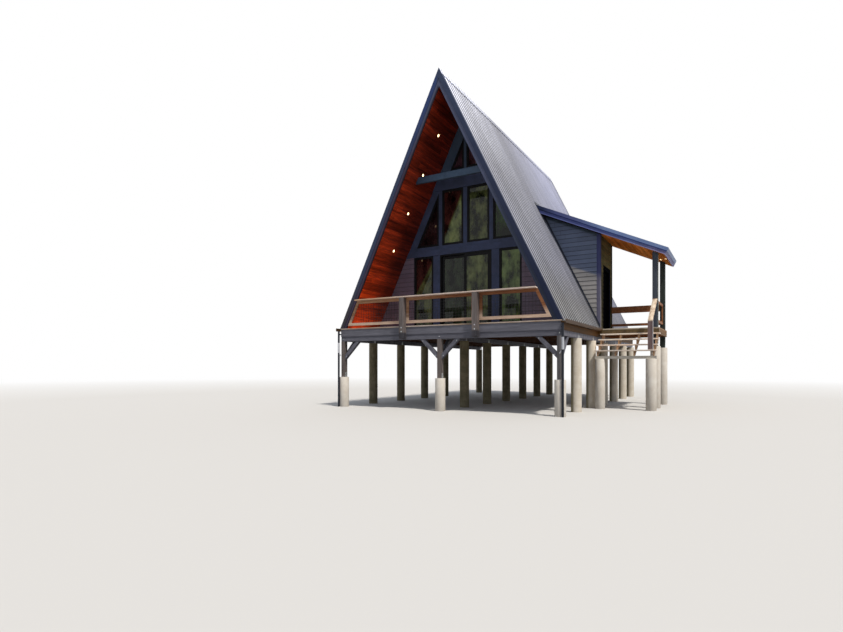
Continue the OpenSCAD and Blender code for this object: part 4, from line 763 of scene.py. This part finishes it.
def roof_details():
    """Low ribs between the main ones, screws with washers, edge trim and flashings."""
    low_ribs, screws = Piece(), Piece()
    section = ((-0.014, -LIFT), (-0.007, 0.004), (0.007, 0.004), (0.014, -LIFT))
    faces = [(0, 1, 5, 4), (1, 2, 6, 5), (2, 3, 7, 6), (3, 0, 4, 7), (0, 3, 2, 1), (4, 5, 6, 7)]
    washer, thick = 0.008, 0.006
    ring = [(washer * math.cos(k), washer * math.sin(k)) for k in (i * math.tau / 6 for i in range(6))]

    def low_rib(y, start, end, place):
        low_ribs.solid([(u, y + dy, -RIB + dz) for u in (start, end) for dy, dz in section], faces, place)

    def screw(u, y, place):
        points = [(u + du, y + dy, h) for h in (-RIB, -RIB + thick) for du, dy in ring]
        sides = [(i, (i + 1) % 6, 6 + (i + 1) % 6, 6 + i) for i in range(6)]
        screws.solid(points, sides + [(6, 7, 8, 9, 10, 11)], place)

    for side, start, end, rib_top, first_screw in (
            (1, 0, LENGTH, 0.08, 0.25), (-1, 0, LENGTH, 0.08, 0.25), (0, *SHED_Y, 0.04, 0.22)):
        place = slope_place(side) if side else shed_place()
        for rib in rib_lines(start, end):
            for y in (rib + step for step in LOW_RIBS_AT):
                if y < end - 0.1:
                    low_rib(y, rib_top, metal_length(side, y), place)
            y = rib + SCREW_OFF_RIB
            if y < end - 0.04:
                u = first_screw
                while u < metal_length(side, y) - 0.05:
                    screw(u, y, place)
                    u += SCREW_PITCH
    low_ribs.make("roof_low_ribs", roof_steel, "roof_metal")
    screws.make("roof_screws", roof_steel, "roof_metal")

    edges = Piece()
    for side in (1, -1):
        for low, high in ((-TRIM_FACE, 0.085), (LENGTH - 0.085, LENGTH + BACK_FACE)):
            edges.block((0.06, low, LIFT), (SLOPE_LENGTH, high, SHEET), slope_place(side))
    for low, high in ((SHED_Y[0] - TRIM_FACE, SHED_Y[0] + 0.07), (SHED_Y[1] - 0.07, SHED_Y[1] + TRIM_FACE)):
        edges.block((0.0, low, LIFT), (shed_length(), high, SHEET), shed_place())
    edges.make("rake_edge_trim", trim_steel, "trim_metal")

    covers = Piece()
    sunk = 0.0028
    for side in (1, -1):
        covers.prism([(side * roof_x(DECK, 0), DECK), (0.0, roof_z(0, 0)), (0.0, roof_z(0, TRIM_WIDTH)),
                      (side * roof_x(DECK, TRIM_WIDTH), DECK)][::side], -TRIM_FACE, -sunk)
    tip = Vector((SHED_EAVE, 0, shed_z(SHED_EAVE, 0)))
    foot = tip - TRIM_WIDTH * Vector(SHED_SLANT)
    top, low = shed_join(0, 0), shed_join(TRIM_WIDTH, 0)
    outline = [(top, shed_z(top, 0)), (tip.x, tip.z), (foot.x, foot.z), (low, shed_z(low, TRIM_WIDTH))]
    for start, end in ((SHED_Y[0] - TRIM_FACE, SHED_Y[0] - sunk), (SHED_Y[1] + sunk, SHED_Y[1] + TRIM_FACE)):
        covers.prism(outline, start, end)
    covers.make("rake_face_trim", trim_steel, "trim_metal")

    flashing = Piece()
    valley = shed_join(0, 0) / math.cos(SLOPE)
    flashing.block((valley - 0.16, SHED_Y[0], LIFT), (valley - 0.001, SHED_Y[1], SHEET), slope_place(1))
    flashing.block((0.004, SHED_Y[0], LIFT), (0.15, SHED_Y[1], SHEET), shed_place())
    top = shed_join(SHED_INNER, 0) + 0.01
    low, high, near, far = -0.004, -0.055, 0.019, 0.024
    outline = [(FLOOR_HALF, roof_z(FLOOR_HALF, low)), (top, roof_z(top, low)), (top, roof_z(top, high)),
               (FLOOR_HALF, roof_z(FLOOR_HALF, high))]
    for start, end in ((DORMER_Y[0] - far, DORMER_Y[0] - near), (DORMER_Y[1] + near, DORMER_Y[1] + far)):
        flashing.prism(outline, start, end)
    flashing.make("roof_flashings", flashing_steel, "trim_metal")


# Round lights

def round_lights():
    """Four pairs on the main ceilings and two on the porch: a flat ring with a lens set back in it."""
    spots = []
    for i in range(4):
        z = DECK + 2.59 + 1.16 * i
        for side in (1, -1):
            inward = Vector((-side * math.sin(SLOPE), 0, -math.cos(SLOPE)))
            spots.append(((side * roof_x(z, CEILING_FACE), 0.9, z), inward))
    for x, y in ((5.645, 5.32), (5.43, 5.935)):
        spots.append(((x, y, shed_z(x, SHED_INNER + LIFT)), Vector((-SHED_SLANT[0], 0, -SHED_SLANT[2]))))
    rings, lenses = Piece(), Piece()
    ring = [(0.043, 0.0), (0.055, 0.0), (0.055, 0.003), (0.050, 0.008), (0.044, 0.008), (0.040, 0.004),
            (0.040, 0.001)]
    dome = [(0.041, 0.0005), (0.041, 0.004), (0.030, 0.0055), (0.012, 0.006)]
    for centre, axis in spots:
        rings.turned(ring, centre, axis)
        lenses.turned(dome, centre, axis)
    rings.make("light_rings", black_frames, "frame_black", replaces=("ceiling_lights",))
    lenses.make("light_lenses", lens, "lamp")


# Gutters, pipes and deck edge

def gutter_beads():
    """The rolled bead along the outer lip of each gutter, which stops at the dormer on the right."""
    beads = Piece()
    lip_x, lip_z, radius = 3.8075, 2.5822, 0.0074
    front = -0.115
    circle = [(radius * math.cos(a), radius * math.sin(a)) for a in (math.tau * k / 10 for k in range(10))]
    for side, start, end in ((1, front, 4.374), (1, 6.556, LENGTH), (-1, front, LENGTH)):
        beads.prism([(side * (lip_x + x), lip_z + z) for x, z in circle], start, end)
    beads.make("gutter_beads", lip_steel, "gutter_metal")


def pipe_highlight_sleeves():
    """A white sleeve round each downpipe with a clip to the post: a painted highlight where the sun lights
    the dark pipe.
    """
    sleeves = Piece()
    pipe_x, pipe_y = 3.7305, -0.0708
    profile = [(0.0325, 0.0), (0.0345, 0.002), (0.0345, 0.326), (0.0325, 0.328)]
    for side in (1, -1):
        sleeves.turned(profile, (side * pipe_x, pipe_y, 1.78), (0, 0, 1))
        turn = Matrix.Rotation(side * math.radians(35), 4, "Y")
        clip = Matrix.Translation((side * pipe_x, pipe_y, 1.80)) @ turn
        sleeves.block((-0.012, -0.012, -0.15), (0.012, 0.012, -0.02), clip)
    sleeves.make("pipe_highlight_sleeves", sleeve_painted_highlight, "trim_metal", edge=0.002)


def deck_edges():
    """The edge of the first deck board, which shows over the rim between the rail posts."""
    strips = Piece()
    clear = RAIL_POST_WIDTH / 2 + 0.002
    for start, end in ((-FLOOR_HALF, -RAIL_POST_X - clear), (-RAIL_POST_X + clear, RAIL_POST_X - clear),
                       (RAIL_POST_X + clear, FLOOR_HALF)):
        strips.block((start, -0.016, DECK - 0.036), (end, -LIFT, DECK))
    strips.make("deck_edge_strips", edge_strip, "deck_timber", edge=0.004)


# Windows and doors. An opening is given by its left, right, lower and upper edges

LOWER_WINDOW = (1.19, 1.94, 2.68, 5.06)
UPPER_WINDOW = (0.07, 0.85, 5.375, 7.21)
BACK_WINDOWS = ((0.5, 1.4, 3.48, 4.78), (-1.4, -0.5, 3.48, 4.78), (-0.45, 0.45, 5.78, 6.98))
BEAD_OUTER = 0.0552
BEAD_INNER = 0.074


def opening(left, right, low, high, inset=0.0):
    """The outline of an opening, smaller by an inset all round."""
    return [(left + inset, low + inset), (right - inset, low + inset), (right - inset, high - inset),
            (left + inset, high - inset)]


def raked(x, z, stud, inset):
    """The outline of a right triangle beside the ceiling, with a stud of level width along its slope."""
    x += inset
    z += inset
    stud += inset * STRETCH
    return [(x, z), (roof_x(z, CEILING_FACE) - stud, z), (x, roof_z(x + stud, CEILING_FACE))]


def front_windows(inset):
    """The front windows of the right side, smaller by an inset."""
    return [opening(*LOWER_WINDOW, inset), opening(*UPPER_WINDOW, inset), raked(0.98, 5.375, 0.26, inset),
            raked(0.045, 7.82, 0.365, inset)]


def mirrored(outline):
    return [(-x, z) for x, z in outline]


def window_beads():
    """Glazing beads in the frames, a step back from their faces."""
    beads = Piece()
    front, back = (1.824, 1.8398), (10.7102, 10.726)
    for outer, inner in zip(front_windows(BEAD_OUTER), front_windows(BEAD_INNER)):
        beads.rim(outer, inner, *front)
        beads.rim(mirrored(outer), mirrored(inner), *front)
    for window in BACK_WINDOWS:
        beads.rim(opening(*window, BEAD_OUTER), opening(*window, BEAD_INNER), *back)
    beads.make("window_beads", black_frames, "frame_black", edge=0.002)


def slider_handle():
    """On the free stile: a flush pull outside, which passes the fixed panel, and a bar inside."""
    handle = Piece()
    left, right, low, high = -0.846, -0.812, 3.44, 3.78
    outside = (1.8585, 1.8645)
    handle.rim(opening(left, right, low, high), opening(left, right, low, high, 0.006), *outside)
    handle.block((left + 0.005, 1.8620, low + 0.005), (right - 0.005, outside[1], high - 0.005))
    handle.block((left, 1.9035, low), (right, 1.9065, high))
    for z in (low + 0.06, high - 0.06):
        handle.turned([(0.006, 0.0), (0.006, 0.025)], ((left + right) / 2, 1.9055, z), (0, 1, 0), 12)
    handle.block((left + 0.006, 1.928, low + 0.03), (right - 0.006, 1.936, high - 0.03))
    handle.make("slider_handle", black_frames, "frame_black", body="slider", edge=0.001)


def door_mouldings():
    """Two raised panels with a moulded edge on each face of the entry leaf."""
    panels = Piece()
    y0, y1 = 5.316, 5.934
    wide, inset = 0.022, 0.05
    for z0, z1 in ((2.78, 3.42), (3.62, 4.54)):
        border = ((y0, y1, z0, z0 + wide), (y0, y1, z1 - wide, z1), (y0, y0 + wide, z0 + wide, z1 - wide),
                  (y1 - wide, y1, z0 + wide, z1 - wide))
        field = (y0 + inset, y1 - inset, z0 + inset, z1 - inset)
        for face, out in ((3.600, 1), (3.556, -1)):
            for bars, height in ((border, 0.009), ((field,), 0.006)):
                low, high = sorted((face - LIFT * out, face + height * out))
                for start, end, foot, top in bars:
                    panels.block((low, start, foot), (high, end, top))
    panels.make("door_mouldings", door_paint, "frame_black", body="entry_leaf", edge=0.002)


# Bolts, bases, straps and stair

def hex_bolt(piece, centre, axis, radius):
    """A hex head on its round washer."""
    piece.turned([(radius * 1.35, 0.0), (radius * 1.35, 0.003)], centre, axis, 16)
    piece.turned([(radius, 0.003), (radius, 0.010), (radius * 0.8, 0.012)], centre, axis, 6)


def bolts():
    """Bolts of the rail posts, of the braces and of the front beam."""
    heads = Piece()
    dome = [(0.019, 0.0), (0.019, 0.0008), (0.013, 0.0026), (0.005, 0.0036)]
    for x in (-RAIL_POST_X, RAIL_POST_X):
        for z in (2.40, 2.52):
            heads.turned(dome, (x, -RAIL_POST_WIDTH, z), (0, -1, 0), 20)
    for x in (-GIRDER_X, 0, GIRDER_X):
        hex_bolt(heads, (x, 0.015, 2.23), (0, -1, 0), 0.012)
    for x, side in ((-GIRDER_X + 0.07, 1), (-0.07, -1), (0.07, 1), (GIRDER_X - 0.07, -1)):
        for along, z in ((0.5, 2.10), (0.06, 1.66)):
            hex_bolt(heads, (x + side * along, 0.03, z), (0, -1, 0), 0.010)
    for y in PORCH_POST_Y:
        for z in (2.40, 2.48):
            hex_bolt(heads, (5.55, y, z), (1, 0, 0), 0.012)
    heads.make("bolt_heads", zinc, "knob")


def post_bases():
    """Folded steel bases between the concrete and the timber posts."""
    bases = Piece()
    feet = [(x, 0.085, 0.98, 0.07) for x in (-GIRDER_X, 0, GIRDER_X)]
    feet += [(sum(PORCH_POST_X) / 2, y, 1.98, 0.0825) for y in PORCH_POST_Y]
    for x, y, z, half in feet:
        face = half + LIFT + SHEET
        for side in (-1, 1):
            low, high = sorted((x + side * (half + LIFT), x + side * face))
            bases.block((low, y - 0.045, z + 0.001), (high, y + 0.045, z + 0.16))
            hex_bolt(bases, (x + side * face, y, z + 0.11), (side, 0, 0), 0.009)
        bases.block((x - face, y - face, z), (x + face, y + face, z + 0.004))
    bases.make("post_bases", zinc, "knob", edge=0.001)


def pier_straps():
    """Straps cast into the piers, with pointed ends bolted to the sides of the girders."""
    straps = Piece()
    half, foot, shoulder, tip = 0.055, 2.150, 2.190, 2.290
    near, face = 0.0705, 0.0735
    quarter_turn = Matrix(((0, -1, 0, 0), (1, 0, 0, 0), (0, 0, 1, 0), (0, 0, 0, 1)))
    for x in (-GIRDER_X, 0, GIRDER_X):
        for y in PIER_Y:
            outline = [(y - half, foot), (y + half, foot), (y + half, shoulder), (y, tip),
                       (y - half, shoulder)]
            for side in (-1, 1):
                straps.prism(outline, -x - side * near, -x - side * face, quarter_turn)
                for height in (0.05, 0.09):
                    hex_bolt(straps, (x + side * face, y, foot + height), (side, 0, 0), 0.007)
    straps.make("pier_straps", zinc, "knob")


def stair_boards():
    """Each tread is two boards with a gap between them."""
    boards = Piece()
    left, right = 3.8, 5.6
    thick, half_gap = 0.038, 0.003
    for i in range(1, 5):
        front, back = PORCH_Y - i * STEP_RUN - 0.02, PORCH_Y - (i - 1) * STEP_RUN - 0.005
        top = DECK - i * STEP_RISE
        middle = (front + back) / 2
        boards.block((left, front, top - thick), (right, middle - half_gap, top))
        boards.block((left, middle + half_gap, top - thick), (right, back, top))
    boards.make("tread_boards", tread_wood, "deck_timber", edge=0.004, replaces=("stair_treads",))


def deck_screws():
    """Pairs of screws where the porch boards cross their joists and the treads cross their stringers."""
    heads = Piece()
    profile = [(0.006, 0.0), (0.006, 0.0012), (0.003, 0.0018)]
    inset = 0.03
    for x in (3.75, 4.10, 4.55, 5.00, 5.30, 5.50):
        beside = x < PORCH_POST_X[0] or x > PORCH_POST_X[1]
        y = PORCH_Y
        while y < DORMER_Y[1]:
            end = min(DORMER_Y[1], y + BOARD)
            for v in (y + inset, end - inset):
                if end - y > 0.08 and (beside or all(abs(v - p) > 0.1 for p in PORCH_POST_Y)):
                    heads.turned(profile, (x, v, DECK), (0, 0, 1), 8)
            y += BOARD_PITCH
    for i in range(1, 5):
        for x in (3.879, 4.426, 4.974, 5.521):
            for v in (PORCH_Y - i * STEP_RUN + inset, PORCH_Y - (i - 1) * STEP_RUN - 0.05):
                heads.turned(profile, (x, v, DECK - i * STEP_RISE), (0, 0, 1), 8)
    heads.make("deck_screws", zinc, "knob")


# Floor and light

def studio_floor():
    """A pale floor that fades to white far from the house, and throws back less light than it shows."""
    far = 150
    mesh = bpy.data.meshes.new("studio_floor")
    mesh.from_pydata([(-far, -far, 0), (far, -far, 0), (far, far, 0), (-far, far, 0)], [], [(0, 1, 2, 3)])
    floor = placed("studio_floor", mesh)
    floor.location.z = -0.001
    material, tree, place = bare_material("pale_floor")
    pale = {"Base Color": linear("#d9d7d3"), "Roughness": 0.9, "Specular IOR Level": 0.1}
    pale = add(tree, "BsdfPrincipled", pale)
    bounce = add(tree, "BsdfDiffuse", (linear("#84807a"),))
    rays = add(tree, "LightPath").outputs
    seen = add(tree, "Math", (rays["Is Camera Ray"], rays["Is Glossy Ray"]), operation="MAXIMUM")
    surface = add(tree, "MixShader", (seen, bounce, pale))
    reach = add(tree, "VectorMath", (place,), operation="LENGTH").outputs["Value"]
    fade = add(tree, "MapRange", (reach, 16.0, 45.0))
    white = add(tree, "Emission", ((1, 1, 1, 1), 1.0))
    add(tree, "OutputMaterial", {"Surface": add(tree, "MixShader", (fade, surface, white))})
    mesh.materials.append(material)


def plain_sky():
    """An even cool sky, which the camera, metal and glass see as white."""
    world = bpy.data.worlds.new("plain_sky")
    bpy.context.scene.world = world
    world.use_nodes = True
    tree = world.node_tree
    tree.nodes.clear()
    rays = add(tree, "LightPath").outputs
    seen = add(tree, "Math", (rays["Is Camera Ray"], rays["Is Glossy Ray"]), operation="MAXIMUM")
    seen = add(tree, "Math", (seen, rays["Is Transmission Ray"]), operation="MAXIMUM")
    sky = add(tree, "Background", (linear("#e3ebfa"), 0.45))
    white = add(tree, "Background", ((1, 1, 1, 1), 1.0))
    add(tree, "OutputWorld", {"Surface": add(tree, "MixShader", (seen, sky, white))})


def soft_sun():
    """A warm sun, high over the porch side, with soft edges to its shadows."""
    data = bpy.data.lights.new("soft_sun", "SUN")
    data.energy = 2.9
    data.angle = math.radians(5)
    data.color = (1.0, 0.95, 0.88)
    sun = placed("soft_sun", data)
    sun.rotation_mode = "QUATERNION"
    sun.rotation_quaternion = Vector((0.452, -0.209, 0.868)).to_track_quat("Z", "Y")


dress_solids()
roof_details()
round_lights()
gutter_beads()
pipe_highlight_sleeves()
deck_edges()
window_beads()
slider_handle()
door_mouldings()
bolts()
post_bases()
pier_straps()
stair_boards()
deck_screws()
studio_floor()
plain_sky()
soft_sun()
bpy.context.scene.view_settings.view_transform = "Standard"
